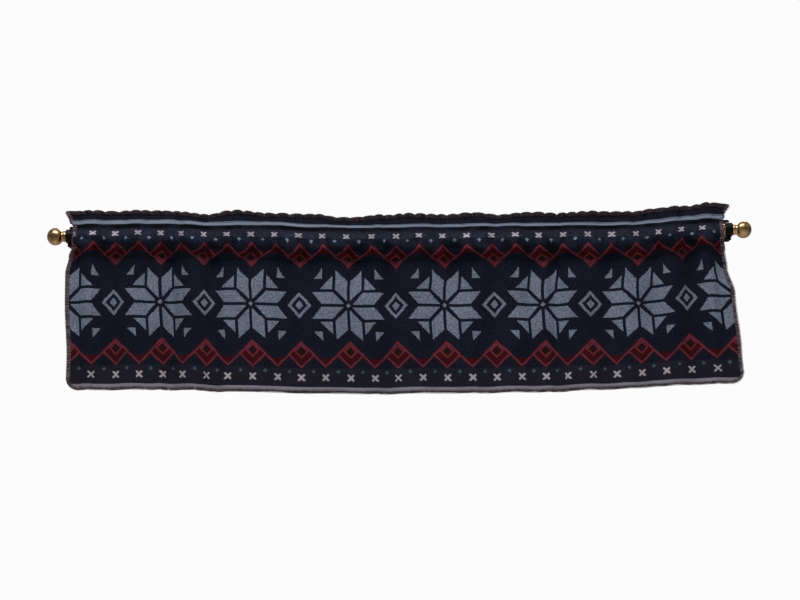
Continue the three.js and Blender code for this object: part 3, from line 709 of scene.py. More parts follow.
def cloth_material(name, reverse):
    made, tree, shader = new_material(name, roughness=0.95, sheen=0.015, specular=0.05)
    shader.inputs["Sheen Roughness"].default_value = 0.45
    flat = Output(new_node(tree, "ShaderNodeUVMap", uv_map="flat_cloth"))
    yarn = new_node(tree, "ShaderNodeGroup", node_tree=border)
    cloth = new_node(tree, "ShaderNodeGroup", node_tree=weave)
    for owner, label, value in (
        (yarn, "Flat", flat), (cloth, "Flat", flat), (cloth, "Nap", 0.8 if reverse else 0.6)
    ):
        plug(owner.inputs[label], value)
    heather, soiling = Output(cloth, "Heather"), Output(cloth, "Soiling")
    ground = mixed(heather, NAVY, NAVY_LIGHT)
    shade = soiling.line(0.2, 0.88)
    if reverse:
        # The colour that isn't on the face floats behind it, broken by the ground's own yarn.
        floats = ramp(heather, 0.25, 0.95)
        colour = mixed(Output(yarn, "Star band"), ground, mixed(floats, ground, PETAL_GREY))
        colour = mixed(Output(yarn, "Zigzag band"), colour, mixed(floats, ground, RED))
        for mask in ("Petals", "Zigzag", "Filling"):
            colour = mixed(Output(yarn, mask), colour, ground)
    else:
        height = parts(flat)[1]
        upper = height.above_zero()
        up = height.line(1000.0, 0.0)
        # Painted light: the ground is painted paler in a band where the pocket turns over the rod and
        # its top faces the light.
        painted_light_over_rod = ramp(abs(beyond(up, 157.0)), 13.0, 5.0) * heather.line(0.5, 0.1)
        ground = mixed(painted_light_over_rod, ground, PAINTED_LIT_NAVY)
        # Red fibres work into the ground between the zigzags, pale ones into the foot.
        bands = Output(yarn, "Star band") + Output(yarn, "Zigzag band")
        foot_share = bands.math("SUBTRACT", 1.0, bands + upper, clamp=True)
        ground = mixed(Output(yarn, "Red haze") * 0.42, ground, WARM_NAVY)
        colour = mixed(foot_share * 0.25, ground, FOOT_NAVY)
        for mask, woven in (
            ("Petals", mixed(heather, PETAL_GREY, PETAL_PALE)),
            ("Filling", DEEP_RED),
            ("Zigzag", mixed(heather, RED_DARK, RED)),
            ("Crosses", mixed(upper, CROSS_WHITE, CROSS_DULL)),
            ("Dots", mixed(upper, DOT_BLUE, DOT_PALE)),
            ("Hearts", HEART_BROWN),
            ("Stripe", mixed(upper, HEM_GREY, HEADING_GREY)),
        ):
            colour = mixed(Output(yarn, mask), colour, woven)
        colour = mixed(Output(cloth, "Flecks") * 0.5, colour, NAVY)
        # Painted shade: the crease under the heading is painted darker, more in some places than in
        # others.
        painted_crease_shade = ramp(abs(beyond(up, CREASE_HEIGHT)), 5.8, 2.0) * ramp(soiling, 0.1, 0.75)
        colour = mixed(painted_crease_shade * 0.92, colour, PAINTED_CREASE_SHADE)
        # Painted light and shade: where the pocket hangs slack, blotches paint its wrinkles darker and
        # lighter in turn.
        slack_shading_band = ramp(abs(beyond(up, 132.0)), 34.0, 14.0)
        shade = shade * slack_shading_band.line(Output(cloth, "Painted wrinkle shading").line(0.85, -0.42), 1.0)
    dull = new_node(tree, "ShaderNodeHueSaturation", {"Color": colour, "Value": shade})
    plug(shader.inputs["Base Color"], Output(dull))
    bump_to(shader, Output(cloth, "Relief"), 0.0006, 0.9)
    return made


cloth_sheet.data.materials.append(cloth_material("border_cloth_face", reverse=False))
cloth_sheet.data.materials.append(cloth_material("border_cloth_reverse", reverse=True))
cloth_wall = cloth_sheet.modifiers.new("cloth thickness", "SOLIDIFY")
cloth_wall.thickness = CLOTH_THICKNESS * MM
cloth_wall.offset = 0
cloth_wall.material_offset = 1
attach(cloth_sheet, "root")
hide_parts("valance_cloth")

# ---------------------------------------------------------------------------------------------
# Overcast edgings: soft wool yarn wrapped over the cut edges, turn beside turn. The hem and the
# sides have taupe-brown yarn; the heading's is dark maroon, drawn tight every 26 mm.
# ---------------------------------------------------------------------------------------------


def tube(path, radius, sides, name):
    """A closed yarn-like tube along a path, with its length and girth as UV."""
    path = np.asarray(path, float)
    ahead = unit(np.gradient(path, axis=0))
    side = unit(np.cross(ahead, [1.0, 0.02, 0.01]))
    other = np.cross(ahead, side)
    angle = np.linspace(0, 2 * math.pi, sides, endpoint=False)
    radii = np.full(len(path), radius)
    radii[0], radii[-1] = radius * 0.45, radius * 0.45
    ring = side[:, None] * np.cos(angle)[:, None] + other[:, None] * np.sin(angle)[:, None]
    vertices = (path[:, None] + ring * radii[:, None, None]).reshape(-1, 3)
    faces = []
    for j in range(len(path) - 1):
        for i in range(sides):
            k = (i + 1) % sides
            faces.append((j * sides + i, j * sides + k, (j + 1) * sides + k, (j + 1) * sides + i))
    faces.append(tuple(range(sides - 1, -1, -1)))
    faces.append(tuple(range((len(path) - 1) * sides, len(path) * sides)))
    made = mesh_object(name, vertices, faces)
    run = np.concatenate([[0], np.cumsum(np.linalg.norm(np.diff(path, axis=0), axis=1))])
    around = np.tile(angle / (2 * math.pi), len(path))
    flat_map(made, "yarn_run", np.stack([np.repeat(run, sides), around], -1))
    return made


def wrap_path(depth, half_thick, slant, edge_round):
    """One turn of yarn from the back of the cloth round its edge to the front."""
    arc = np.radians(np.linspace(-90, 90, 5))
    back = [(0.0, -depth, -half_thick * 0.35), (0.0, -depth + 1.2, -half_thick),
            (0.0, -depth * 0.5, -half_thick * 1.04)]
    round_edge = [(0.0, edge_round * math.cos(a), half_thick * math.sin(a)) for a in arc]
    front = [(0.0, -y, z) for y, z in ((depth * 0.5, half_thick * 1.04), (depth - 1.2, half_thick),
                                       (depth, half_thick * 0.35))]
    path = np.array(back + round_edge + front) * MM
    path[:, 0] = np.linspace(-slant / 2, slant / 2, len(path)) * MM
    return path


def guide_object(name, places, outward, facing, reach):
    """Points that stitches stand on, with the directions that each needs."""
    data = bpy.data.meshes.new(name)
    data.from_pydata([tuple(map(float, p)) for p in np.asarray(places) * MM], [], [])
    made = linked(name, data)
    for label, values in (("outward", outward), ("facing", facing)):
        layer = data.attributes.new(label, "FLOAT_VECTOR", "POINT")
        layer.data.foreach_set("vector", np.asarray(values, np.float32).ravel())
    layer = data.attributes.new("reach", "FLOAT", "POINT")
    layer.data.foreach_set("value", np.broadcast_to(reach, len(data.vertices)).astype(np.float32))
    return made


stitching = bpy.data.node_groups.new("stitches_on_points", "GeometryNodeTree")
stitch_inputs = {}
for label, kind in (("Geometry", "NodeSocketGeometry"), ("Stitch", "NodeSocketObject"),
                    ("Yarn", "NodeSocketMaterial"), ("Turn spread", "NodeSocketFloat"),
                    ("Size spread", "NodeSocketFloat"), ("Seed", "NodeSocketInt")):
    stitch_inputs[label] = stitching.interface.new_socket(label, in_out="INPUT", socket_type=kind)
stitching.interface.new_socket("Geometry", in_out="OUTPUT", socket_type="NodeSocketGeometry")
stitch_start = stitching.nodes.new("NodeGroupInput")
stitch_end = stitching.nodes.new("NodeGroupOutput")
given = {label: Output(stitch_start, label) for label in stitch_inputs}


def named(label, kind):
    return Output(new_node(
        stitching, "GeometryNodeInputNamedAttribute", {"Name": label}, data_type=kind
    ), "Attribute")


def random_number(low, high, seed_shift):
    made = new_node(stitching, "FunctionNodeRandomValue", data_type="FLOAT")
    numbers = [s for s in made.inputs if s.type == "VALUE" and s.enabled]
    plug(numbers[0], low)
    plug(numbers[1], high)
    plug(made.inputs["Seed"], given["Seed"] + float(seed_shift))
    return Output(made, [s.type == "VALUE" and s.enabled for s in made.outputs].index(True))


stand = new_node(stitching, "FunctionNodeAxesToRotation", {
    0: named("outward", "FLOAT_VECTOR"), 1: named("facing", "FLOAT_VECTOR")
}, primary_axis="Y", secondary_axis="Z")
turn_spread, size_spread = given["Turn spread"], given["Size spread"]
lean = new_node(stitching, "FunctionNodeAxisAngleToRotation", {
    "Axis": (0, 0, 1), "Angle": random_number(turn_spread * -1.0, turn_spread, 1)
})
leaning = new_node(stitching, "FunctionNodeRotateRotation", {
    0: Output(stand), 1: Output(lean)
}, rotation_space="LOCAL")
least_size, most_size = 1.0 - size_spread, size_spread.math("ADD", 1.0, size_spread)
stitch_size = new_node(stitching, "ShaderNodeCombineXYZ", {
    0: random_number(least_size, most_size, 2),
    1: named("reach", "FLOAT") * random_number(least_size, most_size, 3),
    2: 1.0,
})
stitch_shape = new_node(stitching, "GeometryNodeObjectInfo", {"Object": given["Stitch"]})
stitches = new_node(stitching, "GeometryNodeInstanceOnPoints", {
    "Points": given["Geometry"], "Instance": Output(stitch_shape, "Geometry"),
    "Rotation": Output(leaning), "Scale": Output(stitch_size),
})
tone = new_node(stitching, "GeometryNodeStoreNamedAttribute", {
    "Geometry": Output(stitches), "Name": "yarn_tone", "Value": random_number(0.0, 1.0, 4)
}, data_type="FLOAT", domain="INSTANCE")
real = new_node(stitching, "GeometryNodeRealizeInstances", {0: Output(tone)})
finished = new_node(stitching, "GeometryNodeSetMaterial", {
    "Geometry": Output(real), "Material": given["Yarn"]
})
plug(stitch_end.inputs[0], Output(finished))


def stitched(guide, stitch, yarn, turn_spread, size_spread, seed):
    """The guide's points with a stitch on each, as a plain mesh."""
    modifier = guide.modifiers.new("stitches", "NODES")
    modifier.node_group = stitching
    for label, value in (("Stitch", stitch), ("Yarn", yarn), ("Turn spread", turn_spread),
                         ("Size spread", size_spread), ("Seed", seed)):
        modifier[stitch_inputs[label].identifier] = value
    depsgraph = bpy.context.evaluated_depsgraph_get()
    mesh = bpy.data.meshes.new_from_object(
        guide.evaluated_get(depsgraph), preserve_all_data_layers=True, depsgraph=depsgraph
    )
    mesh.materials.clear()
    mesh.materials.append(yarn)
    mesh.polygons.foreach_set("material_index", [0] * len(mesh.polygons))
    guide.modifiers.clear()
    bpy.data.objects.remove(guide)
    return mesh


def joined(name, meshes):
    """Several meshes as one object."""
    bpy.ops.object.select_all(action="DESELECT")
    shells = [linked(name, mesh) for mesh in meshes]
    for shell in shells:
        shell.select_set(True)
    bpy.context.view_layer.objects.active = shells[0]
    if len(shells) > 1:
        bpy.ops.object.join()
    bpy.ops.object.select_all(action="DESELECT")
    return shells[0]


def wool_yarn(name, dark, light, twist):
    """Loosely spun wool: ply lines round the yarn, a shade of its own for each turn."""
    made, tree, shader = new_material(name, roughness=0.9, sheen=0.06, specular=0.15)
    shader.inputs["Sheen Roughness"].default_value = 0.45
    length, girth, _ = parts(Output(new_node(tree, "ShaderNodeUVMap", uv_map="yarn_run")))
    ply = (length.line(1000.0 / twist, girth) * (2 * math.pi)).sine()
    own_tone = Output(new_node(
        tree, "ShaderNodeAttribute", attribute_type="GEOMETRY", attribute_name="yarn_tone"
    ), "Fac")
    place = Output(new_node(tree, "ShaderNodeTexCoord"), "Object")
    share = ply.line(0.1, own_tone.line(0.65, -0.12))
    share = noise(place, 45.0, 2.0, 0.5).line(0.35, share, clamp=True)
    plug(shader.inputs["Base Color"], mixed(share, dark, light))
    bump_to(shader, noise(place, 900.0, 4.0, 0.7).line(1.2, ply), 0.0003)
    return made


maroon_yarn = wool_yarn("maroon_edging_yarn", linear(24, 17, 24), linear(66, 50, 58), twist=5.0)
taupe_yarn = wool_yarn("taupe_edging_yarn", linear(66, 50, 54), linear(140, 122, 126), twist=5.0)
brown_yarn = wool_yarn("brown_edging_yarn", linear(46, 40, 44), linear(122, 108, 112), twist=5.0)

WRAP_PITCH = 3.4
YARN_RADIUS = 1.15
hem_wrap = tube(wrap_path(5.6, HALF_CLOTH + 1.0, 2.6, 2.0), YARN_RADIUS * MM, 6, "hem_wrap")
single_wrap = tube(wrap_path(7.6, HALF_CLOTH + 1.0, 2.6, 2.0), YARN_RADIUS * MM, 6, "single_wrap")
double_wrap = tube(wrap_path(7.6, 2 * HALF_CLOTH + 1.0, 2.6, 2.4), YARN_RADIUS * MM, 6, "double_wrap")
heading_wrap = tube(wrap_path(10.0, 2 * HALF_CLOTH + 1.1, 5.0, 1.6), 1.35 * MM, 6, "heading_wrap")


def front_guide(flat_across, flat_height, outward_flat, double):
    """Stitch places on the front layer, at flat points with flat outward directions."""
    out = backward(hung, flat_across, flat_height)
    middle = hung(flat_across, flat_height) - (0 if double else HALF_CLOTH) * out
    step = 3.0
    inside = hung(flat_across - step * outward_flat[0], flat_height - step * outward_flat[1])
    outward = unit(hung(flat_across, flat_height) - inside)
    return middle, outward, -out


# Hem: round the left corner, along the lower edge and round the right corner.
arc_length = cloth_half - corner
corner_steps = int(corner * math.pi / 2 / WRAP_PITCH)
arc_turn = (np.arange(corner_steps) + 0.5) / corner_steps * math.pi / 2
hem_steps = int(2 * arc_length / WRAP_PITCH)
hem_run = np.linspace(-arc_length, arc_length, hem_steps)
hem_across = np.concatenate([
    -arc_length - corner * np.cos(arc_turn), hem_run, arc_length + corner * np.sin(arc_turn)
])
hem_height = CLOTH_HEM + CORNER_RADIUS - np.concatenate([
    corner * np.sin(arc_turn), np.full(hem_steps, corner), corner * np.cos(arc_turn)
])
hem_outward = np.concatenate([
    [-np.cos(arc_turn), -np.sin(arc_turn)],
    [np.zeros(hem_steps), -np.ones(hem_steps)],
    [np.sin(arc_turn), -np.cos(arc_turn)],
], axis=1)
hem_guide = guide_object("hem_guide", *front_guide(hem_across, hem_height, hem_outward, False), 1.0)
hem_edging = joined("hem_overcasting", [
    stitched(hem_guide, hem_wrap, brown_yarn, 0.16, 0.06, 11)
])
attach(hem_edging, "root")
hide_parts("edging_hem")


def side_edging(side, name, node, seed):
    edge = side * cloth_half
    single_heights = np.arange(CLOTH_HEM + CORNER_RADIUS, HEADING_SEAM, WRAP_PITCH)
    double_heights = np.arange(HEADING_SEAM, 208.0, WRAP_PITCH)
    back_heights = np.arange(TURN_DOWN + 1, HEADING_SEAM, WRAP_PITCH)
    meshes = []
    for heights, stitch, double in (
        (single_heights, single_wrap, False), (double_heights, double_wrap, True)
    ):
        outward = np.array([np.full_like(heights, side), np.zeros_like(heights)])
        across = np.full_like(heights, edge)
        guide = guide_object("side_guide", *front_guide(across, heights, outward, double), 1.0)
        meshes.append(stitched(guide, stitch, taupe_yarn, 0.16, 0.06, seed))
    across = np.full_like(back_heights, edge)
    out = backward(hung_back, across, back_heights)
    middle = hung_back(across, back_heights) + out * HALF_CLOTH
    inside = hung_back(across - side * 3.0, back_heights) + out * HALF_CLOTH
    guide = guide_object("side_guide", middle, unit(middle - inside), out, 1.0)
    meshes.append(stitched(guide, single_wrap, taupe_yarn, 0.16, 0.06, seed + 1))
    made = joined(name, meshes)
    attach(made, "root")
    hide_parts(node)
    return made


left_edging = side_edging(-1, "side_overcasting_left", "edging_left", 21)
right_edging = side_edging(1, "side_overcasting_right", "edging_right", 31)

heading_across = np.arange(-cloth_half + 9, cloth_half - 8, WRAP_PITCH)
heading_height = crest_height(heading_across)
heading_outward = np.array([np.zeros_like(heading_across), np.ones_like(heading_across)])
heading_reach = (heading_height - 199.5) / 10.0
heading_guide = guide_object(
    "heading_guide", *front_guide(heading_across, heading_height, heading_outward, True), heading_reach
)
heading_edging = joined("heading_overcasting", [
    stitched(heading_guide, heading_wrap, maroon_yarn, 0.2, 0.08, 41)
])
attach(heading_edging, "root")
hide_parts("edging_heading")

# ---------------------------------------------------------------------------------------------
# Seams: two rows of navy lockstitch, one under the heading and one under the rod pocket, sunk
# into the nap of both faces.
# ---------------------------------------------------------------------------------------------

SEAM_PITCH = 3.3
thread_arc = np.linspace(-1, 1, 6)
thread_path = np.stack([thread_arc * 1.35, 0 * thread_arc, 0.35 - 0.75 * thread_arc**4], -1) * MM
thread_stitch = tube(thread_path[:, [1, 0, 2]], 0.32 * MM, 5, "thread_stitch")
navy_thread = wool_yarn("navy_seam_thread", linear(16, 18, 28), linear(44, 48, 62), twist=1.2)
seam_meshes = []
for seam_height, seam_seed in ((HEADING_SEAM, 51), (POCKET_SEAM, 53)):
    seam_across = np.arange(-cloth_half + 11, cloth_half - 10, SEAM_PITCH)
    seam_line = np.full_like(seam_across, seam_height)
    out = backward(hung, seam_across, seam_line)
    along_seam = unit(hung(seam_across + 2, seam_line) - hung(seam_across - 2, seam_line))
    proud = HALF_CLOTH + CLOTH_THICKNESS / 2
    front_places = hung(seam_across, seam_line) - out * (
        proud + puckers(seam_across, seam_line)[:, None]
    )
    back_places = hung(seam_across, seam_line) + out * proud
    for places, facing in ((front_places, -out), (back_places, out)):
        guide = guide_object("seam_guide", places, along_seam, facing, 1.0)
        seam_meshes.append(stitched(guide, thread_stitch, navy_thread, 0.06, 0.05, seam_seed))
seam_stitching = joined("seam_stitching", seam_meshes)
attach(seam_stitching, "root")
for pattern_stitch in (hem_wrap, single_wrap, double_wrap, heading_wrap, thread_stitch):
    bpy.data.objects.remove(pattern_stitch)

# ---------------------------------------------------------------------------------------------
# Rod and finials: a drawn steel tube, closed at each end by a turned ball finial on a short
# collared neck. Both have an aged bronze finish, worn brighter where hands reach.
# ---------------------------------------------------------------------------------------------

ROD_RADIUS, ROD_WALL, ROD_HALF = 12.7, 1.0, 759.5
BALL_RADIUS, BALL_CENTRE, NECK_RADIUS, COLLAR_RADIUS = 20.0, 783.0, 11.6, 12.6


def spun(profile, sides):
    """Vertices and faces of [radius, place] pairs spun about the X axis, closed on itself."""
    angle = np.linspace(0, 2 * math.pi, sides, endpoint=False)
    vertices, rings = [], []
    for radius, place in profile:
        if radius < 1e-6:
            rings.append([len(vertices)] * sides)
            vertices.append((place, 0.0, 0.0))
            continue
        rings.append(list(range(len(vertices), len(vertices) + sides)))
        vertices += [(place, radius * math.cos(a), radius * math.sin(a)) for a in angle]
    faces = []
    for low, high in zip(rings, rings[1:]):
        for i in range(sides):
            k = (i + 1) % sides
            corners = [low[i], low[k], high[k], high[i]]
            face = [v for n, v in enumerate(corners) if v not in corners[:n]]
            if len(face) > 2:
                faces.append(tuple(face))
    return np.array(vertices), faces


def outward_faces(made):
    """Joins a closed mesh's doubled points and turns every face outwards."""
    shape = bmesh.new()
    shape.from_mesh(made.data)
    bmesh.ops.remove_doubles(shape, verts=shape.verts, dist=1e-6)
    bmesh.ops.recalc_face_normals(shape, faces=shape.faces)
    shape.to_mesh(made.data)
    shape.free()


# Antique metal: a lacquer darkened in patches, with bright rubbed spots and fine specks.
metal_age, age_given, age_results = new_group(
    "metal_age",
    [("Place", VECTOR, None), ("Bright", COLOUR, (0.5, 0.5, 0.5, 1)), ("Dark", COLOUR, (0, 0, 0, 1)),
     ("Patch size", NUMBER, 60.0), ("Gloss", NUMBER, 0.3)],
    [("Color", COLOUR), ("Roughness", NUMBER), ("Relief", NUMBER)],
)
age_share = ramp(noise(age_given["Place"], age_given["Patch size"], 6.0, 0.65), 0.34, 0.66)
fine_specks = noise(age_given["Place"], 700.0, 3.0, 0.6)
speck_share = fine_specks.line(0.5, age_share)
bright_share = speck_share.math("MULTIPLY", speck_share, 0.8, clamp=True)
plug(age_results["Color"], mixed(bright_share, age_given["Dark"], age_given["Bright"]))
plug(age_results["Roughness"], age_share.line(-0.12, fine_specks.line(0.18, age_given["Gloss"])))
plug(age_results["Relief"], fine_specks.line(0.3, age_share))


def metal_material(name, bright, dark, patch_size, gloss, metallic, relief, specular=0.5):
    made, tree, shader = new_material(name, roughness=gloss, metallic=metallic, specular=specular)
    age = new_node(tree, "ShaderNodeGroup", node_tree=metal_age)
    for label, value in (("Place", Output(new_node(tree, "ShaderNodeTexCoord"), "Object")),
                         ("Bright", bright), ("Dark", dark), ("Patch size", patch_size),
                         ("Gloss", gloss)):
        plug(age.inputs[label], value)
    plug(shader.inputs["Base Color"], Output(age, "Color"))
    plug(shader.inputs["Roughness"], Output(age, "Roughness"))
    bump_to(shader, Output(age, "Relief"), relief)
    return made


aged_bronze = metal_material(
    "aged_bronze", linear(176, 142, 102), linear(80, 56, 32), 55.0, 0.24, 1.0, 0.00005
)


def rounded(profile, radius, steps=4):
    """The profile with each inner corner rounded off."""
    points = [np.array(p, float) for p in profile]
    result = [points[0]]
    for before, here, after in zip(points, points[1:], points[2:]):
        reach = min(radius, *(np.linalg.norm(o - here) / 2.2 for o in (before, after)))
        start = here + unit(before - here) * reach
        end = here + unit(after - here) * reach
        for t in np.linspace(0, 1, steps + 1):
            result.append(start * (1 - t) ** 2 + here * 2 * t * (1 - t) + end * t * t)
    return result + [points[-1]]


rod_inside = ROD_RADIUS - ROD_WALL
rod_profile = rounded([
    (rod_inside, 0), (rod_inside, -ROD_HALF), (ROD_RADIUS, -ROD_HALF), (ROD_RADIUS, ROD_HALF),
    (rod_inside, ROD_HALF), (rod_inside, 0),
], 0.3, 2)
rod_vertices, rod_faces = spun(rod_profile, 64)
rod_tube = mesh_object("rod_tube", (rod_vertices - [0, ROD_STAND_OFF, 0]) * MM, rod_faces)
outward_faces(rod_tube)
rod_tube.data.materials.append(aged_bronze)
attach(rod_tube, "root")
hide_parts("curtain_rod")

finial_face = ROD_HALF + 0.3
spigot_radius = ROD_RADIUS - ROD_WALL - 0.35
BALL_LONG = 18.8  # half length of the ball along the rod: it is turned a little flat
ball_middle = BALL_CENTRE + BALL_RADIUS - BALL_LONG
neck_turn = math.asin(NECK_RADIUS / BALL_RADIUS)
ball_profile = [
    np.array((BALL_RADIUS * math.sin(a), ball_middle + BALL_LONG * math.cos(a)))
    for a in np.linspace(math.pi - neck_turn, 0, 24)
]
collar_out = finial_face + 4.4
finial_profile = rounded([
    (0, finial_face - 20), (spigot_radius, finial_face - 20), (spigot_radius, finial_face),
    (COLLAR_RADIUS, finial_face), (COLLAR_RADIUS, collar_out),
    (NECK_RADIUS + 0.5, collar_out + 1.2), tuple(ball_profile[0]),
], 0.7, 3)[:-1] + ball_profile


def finial_piece(side, name, node):
    vertices, faces = spun(finial_profile, 56)
    vertices[:, 0] *= side
    made = mesh_object(name, (vertices - [0, ROD_STAND_OFF, 0]) * MM, faces)
    outward_faces(made)
    made.data.materials.append(aged_bronze)
    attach(made, "root")
    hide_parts(node)


finial_piece(-1, "ball_finial_left", "finial_left")
finial_piece(1, "ball_finial_right", "finial_right")

# ---------------------------------------------------------------------------------------------
# Wall brackets: a black-enamelled cast ring for the rod on a round arm, brazed to the foot of a
# small wall plate with two screw holes. A set screw under the ring holds the rod.
# ---------------------------------------------------------------------------------------------

BRACKET_CENTRE, RING_WIDTH, RING_RADIUS, ARM_RADIUS = 751.0, 16.0, 16.0, 5.5
PLATE_WIDTH, PLATE_HEIGHT, PLATE_THICK, PLATE_LIFT = 30.0, 52.0, 3.0, 16.0
PLATE_CORNER, PLATE_BEVEL = 4.0, 0.5
SCREW_HOLE_RADIUS, SCREW_HOLES, BOSS_RADIUS, BOSS_DROP = 2.3, (-1.0, 17.0), 5.0, 20.5
SCREW_HEAD_RADIUS, SCREW_HEAD_HEIGHT, SCREW_SHANK_RADIUS = 5.0, 3.2, 2.0

black_enamel = metal_material(
    "black_enamel", linear(10, 9, 10), linear(4, 3, 4), 90.0, 0.42, 0.0, 0.00008, 0.08
)
BORE = ROD_RADIUS + 0.3
ring_profile = rounded([
    (BORE, 0), (BORE, -RING_WIDTH / 2), (RING_RADIUS, -RING_WIDTH / 2),
    (RING_RADIUS, RING_WIDTH / 2), (BORE, RING_WIDTH / 2), (BORE, 0),
], 1.3, 4)
arm_end = ROD_STAND_OFF - PLATE_THICK
arm_profile = rounded([
    (0, BORE + 1), (ARM_RADIUS, BORE + 1), (ARM_RADIUS, arm_end - 3.5),
    (ARM_RADIUS + 2.6, arm_end + 0.2), (0, arm_end + 0.2),
], 1.5, 4)
boss_profile = rounded([
    (SCREW_SHANK_RADIUS + 0.3, BORE + 1), (BOSS_RADIUS, BORE + 1), (BOSS_RADIUS, BOSS_DROP),
    (SCREW_SHANK_RADIUS + 0.3, BOSS_DROP), (SCREW_SHANK_RADIUS + 0.3, BORE + 1),
], 0.8, 3)
screw_profile = rounded([
    (0, BORE), (SCREW_SHANK_RADIUS, BORE), (SCREW_SHANK_RADIUS, BOSS_DROP + 0.3),
    (SCREW_HEAD_RADIUS, BOSS_DROP + 0.3), (SCREW_HEAD_RADIUS, BOSS_DROP + 0.3 + SCREW_HEAD_HEIGHT),
    (2.4, BOSS_DROP + 0.3 + SCREW_HEAD_HEIGHT), (2.2, BOSS_DROP + 1.6), (0, BOSS_DROP + 1.6),
], 0.5, 3)


def plate_mesh(name):
    """The wall plate: a flat curve with rounded corners and two holes, given its thickness."""
    curve = bpy.data.curves.new(name, "CURVE")
    curve.dimensions = "2D"
    curve.fill_mode = "BOTH"
    curve.extrude = (PLATE_THICK / 2 - PLATE_BEVEL) * MM
    curve.bevel_depth = PLATE_BEVEL * MM
    curve.bevel_resolution = 2
    curve.offset = -PLATE_BEVEL * MM
    outline = []
    for turn_at in range(4):
        centre_x = (PLATE_WIDTH / 2 - PLATE_CORNER) * (1 if turn_at in (0, 3) else -1)
        centre_z = (PLATE_HEIGHT / 2 - PLATE_CORNER) * (1 if turn_at in (0, 1) else -1)
        for a in np.linspace(0, math.pi / 2, 7) + turn_at * math.pi / 2:
            outline.append((
                centre_x + PLATE_CORNER * math.cos(a), centre_z + PLATE_CORNER * math.sin(a)
            ))
    loops = [outline]
    for hole in SCREW_HOLES:
        turns = np.linspace(0, 2 * math.pi, 32, endpoint=False)
        loops.append([
            (SCREW_HOLE_RADIUS * math.cos(a), hole + SCREW_HOLE_RADIUS * math.sin(a)) for a in turns
        ])
    for loop in loops:
        spline = curve.splines.new("POLY")
        spline.points.add(len(loop) - 1)
        for point, (x, z) in zip(spline.points, loop):
            point.co = (x * MM, z * MM, 0, 1)
        spline.use_cyclic_u = True
    holder = linked(name, curve)
    shown = holder.evaluated_get(bpy.context.evaluated_depsgraph_get())
    mesh = bpy.data.meshes.new_from_object(shown)
    bpy.data.objects.remove(holder)
    mesh.transform(Matrix.Rotation(math.pi / 2, 4, "X"))
    mesh.transform(Matrix.Translation((0, -PLATE_THICK / 2 * MM, PLATE_LIFT * MM)))
    mesh.polygons.foreach_set("use_smooth", [False] * len(mesh.polygons))
    return mesh


def turned_mesh(name, profile, sides, rotation, place):
    vertices, faces = spun(profile, sides)
    made = mesh_object(name, vertices * MM, faces)
    outward_faces(made)
    mesh = made.data
    mesh.transform(Matrix.Translation(Vector(place) * MM) @ Euler(rotation).to_matrix().to_4x4())
    bpy.data.objects.remove(made)
    return mesh


def finish_black(made, node):
    made.data.materials.clear()
    made.data.materials.append(black_enamel)
    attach(made, "root")
    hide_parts(node)


TO_WALL, DOWNWARD = (0, 0, math.pi / 2), (0, math.pi / 2, 0)
for side, side_name in ((-1, "left"), (1, "right")):
    centre = (side * BRACKET_CENTRE, -ROD_STAND_OFF, 0)
    ring = turned_mesh("ring", ring_profile, 56, (0, 0, 0), centre)
    arm = turned_mesh("arm", arm_profile, 32, TO_WALL, centre)
    boss = turned_mesh("boss", boss_profile, 28, DOWNWARD, centre)
    plate = plate_mesh("plate")
    plate.transform(Matrix.Translation((side * BRACKET_CENTRE * MM, 0, 0)))
    bracket = joined(f"wall_bracket_{side_name}", [ring, arm, boss, plate])
    finish_black(bracket, f"bracket_{side_name}")
    screw = turned_mesh("screw", screw_profile, 24, DOWNWARD, centre)
    finish_black(joined(f"ring_screw_{side_name}", [screw]), f"set_screw_{side_name}")

# ---------------------------------------------------------------------------------------------
# Studio: a plain pale floor, seen from above only, and soft light.
# ---------------------------------------------------------------------------------------------

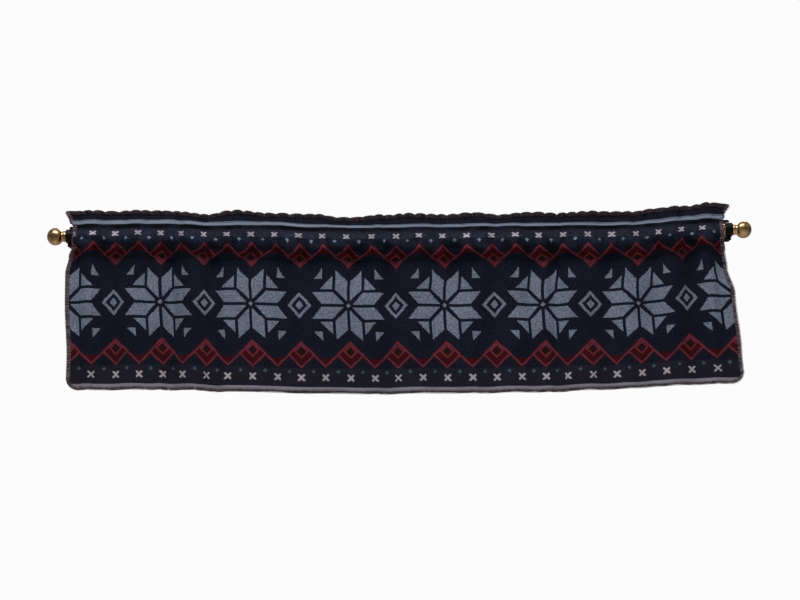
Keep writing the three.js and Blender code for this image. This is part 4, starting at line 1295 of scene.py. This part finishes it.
FLOOR_LEVEL = -2.15
floor_mesh = bpy.data.meshes.new("floor")
floor_mesh.from_pydata(
    [(-30, -30, FLOOR_LEVEL), (30, -30, FLOOR_LEVEL), (30, 30, FLOOR_LEVEL), (-30, 30, FLOOR_LEVEL)],
    [], [(0, 1, 2, 3)],
)
floor = linked("floor", floor_mesh)
floor_material, floor_tree, floor_shader = new_material("pale_floor", roughness=0.85)
floor_tone = noise(Output(new_node(floor_tree, "ShaderNodeTexCoord"), "Object"), 0.6, 3.0)
FLOOR_DARK, FLOOR_PALE = (0.78, 0.78, 0.77, 1), (0.84, 0.84, 0.83, 1)
plug(floor_shader.inputs["Base Color"], mixed(floor_tone, FLOOR_DARK, FLOOR_PALE))
floor_end = next(n for n in floor_tree.nodes if n.type == "OUTPUT_MATERIAL")
one_sided = new_node(floor_tree, "ShaderNodeMixShader", {
    0: Output(new_node(floor_tree, "ShaderNodeNewGeometry"), "Backfacing"),
    1: Output(floor_shader),
    2: Output(new_node(floor_tree, "ShaderNodeBsdfTransparent")),
})
plug(floor_end.inputs["Surface"], Output(one_sided))
floor_mesh.materials.append(floor_material)

world = bpy.data.worlds.new("studio")
world.use_nodes = True
studio = world.node_tree
ambient = next(n for n in studio.nodes if n.type == "BACKGROUND")
overhead = ramp(parts(Output(new_node(studio, "ShaderNodeTexCoord"), "Generated"))[2], -0.1, 0.9)
LOW_LIGHT, TOP_LIGHT, PAPER = (0.12, 0.12, 0.125, 1), (0.6, 0.61, 0.63, 1), (0.97, 0.97, 0.97, 1)
plug(ambient.inputs["Color"], mixed(overhead, LOW_LIGHT, TOP_LIGHT))
studio_mix = new_node(studio, "ShaderNodeMixShader", {
    0: Output(new_node(studio, "ShaderNodeLightPath"), "Is Camera Ray"),
    1: Output(ambient),
    2: Output(new_node(studio, "ShaderNodeBackground", {"Color": PAPER})),
})
studio_end = next(n for n in studio.nodes if n.type == "OUTPUT_WORLD")
plug(studio_end.inputs["Surface"], Output(studio_mix))
bpy.context.scene.world = world


def soft_light(name, place, aim, size, power):
    data = bpy.data.lights.new(name, "AREA")
    data.shape = "RECTANGLE"
    data.size, data.size_y = size
    data.energy = power
    made = linked(name, data)
    made.location = place
    made.rotation_euler = (Vector(aim) - Vector(place)).to_track_quat("-Z", "Y").to_euler()


soft_light("key", (-0.25, -1.6, 2.2), (0, -0.1, -0.2), (2.6, 0.9), 100)
soft_light("wall_side", (0.4, 2.0, 1.5), (0, -0.1, -0.1), (2.2, 1.0), 45)

bpy.context.scene.view_settings.view_transform = "Standard"
bpy.context.view_layer.update()
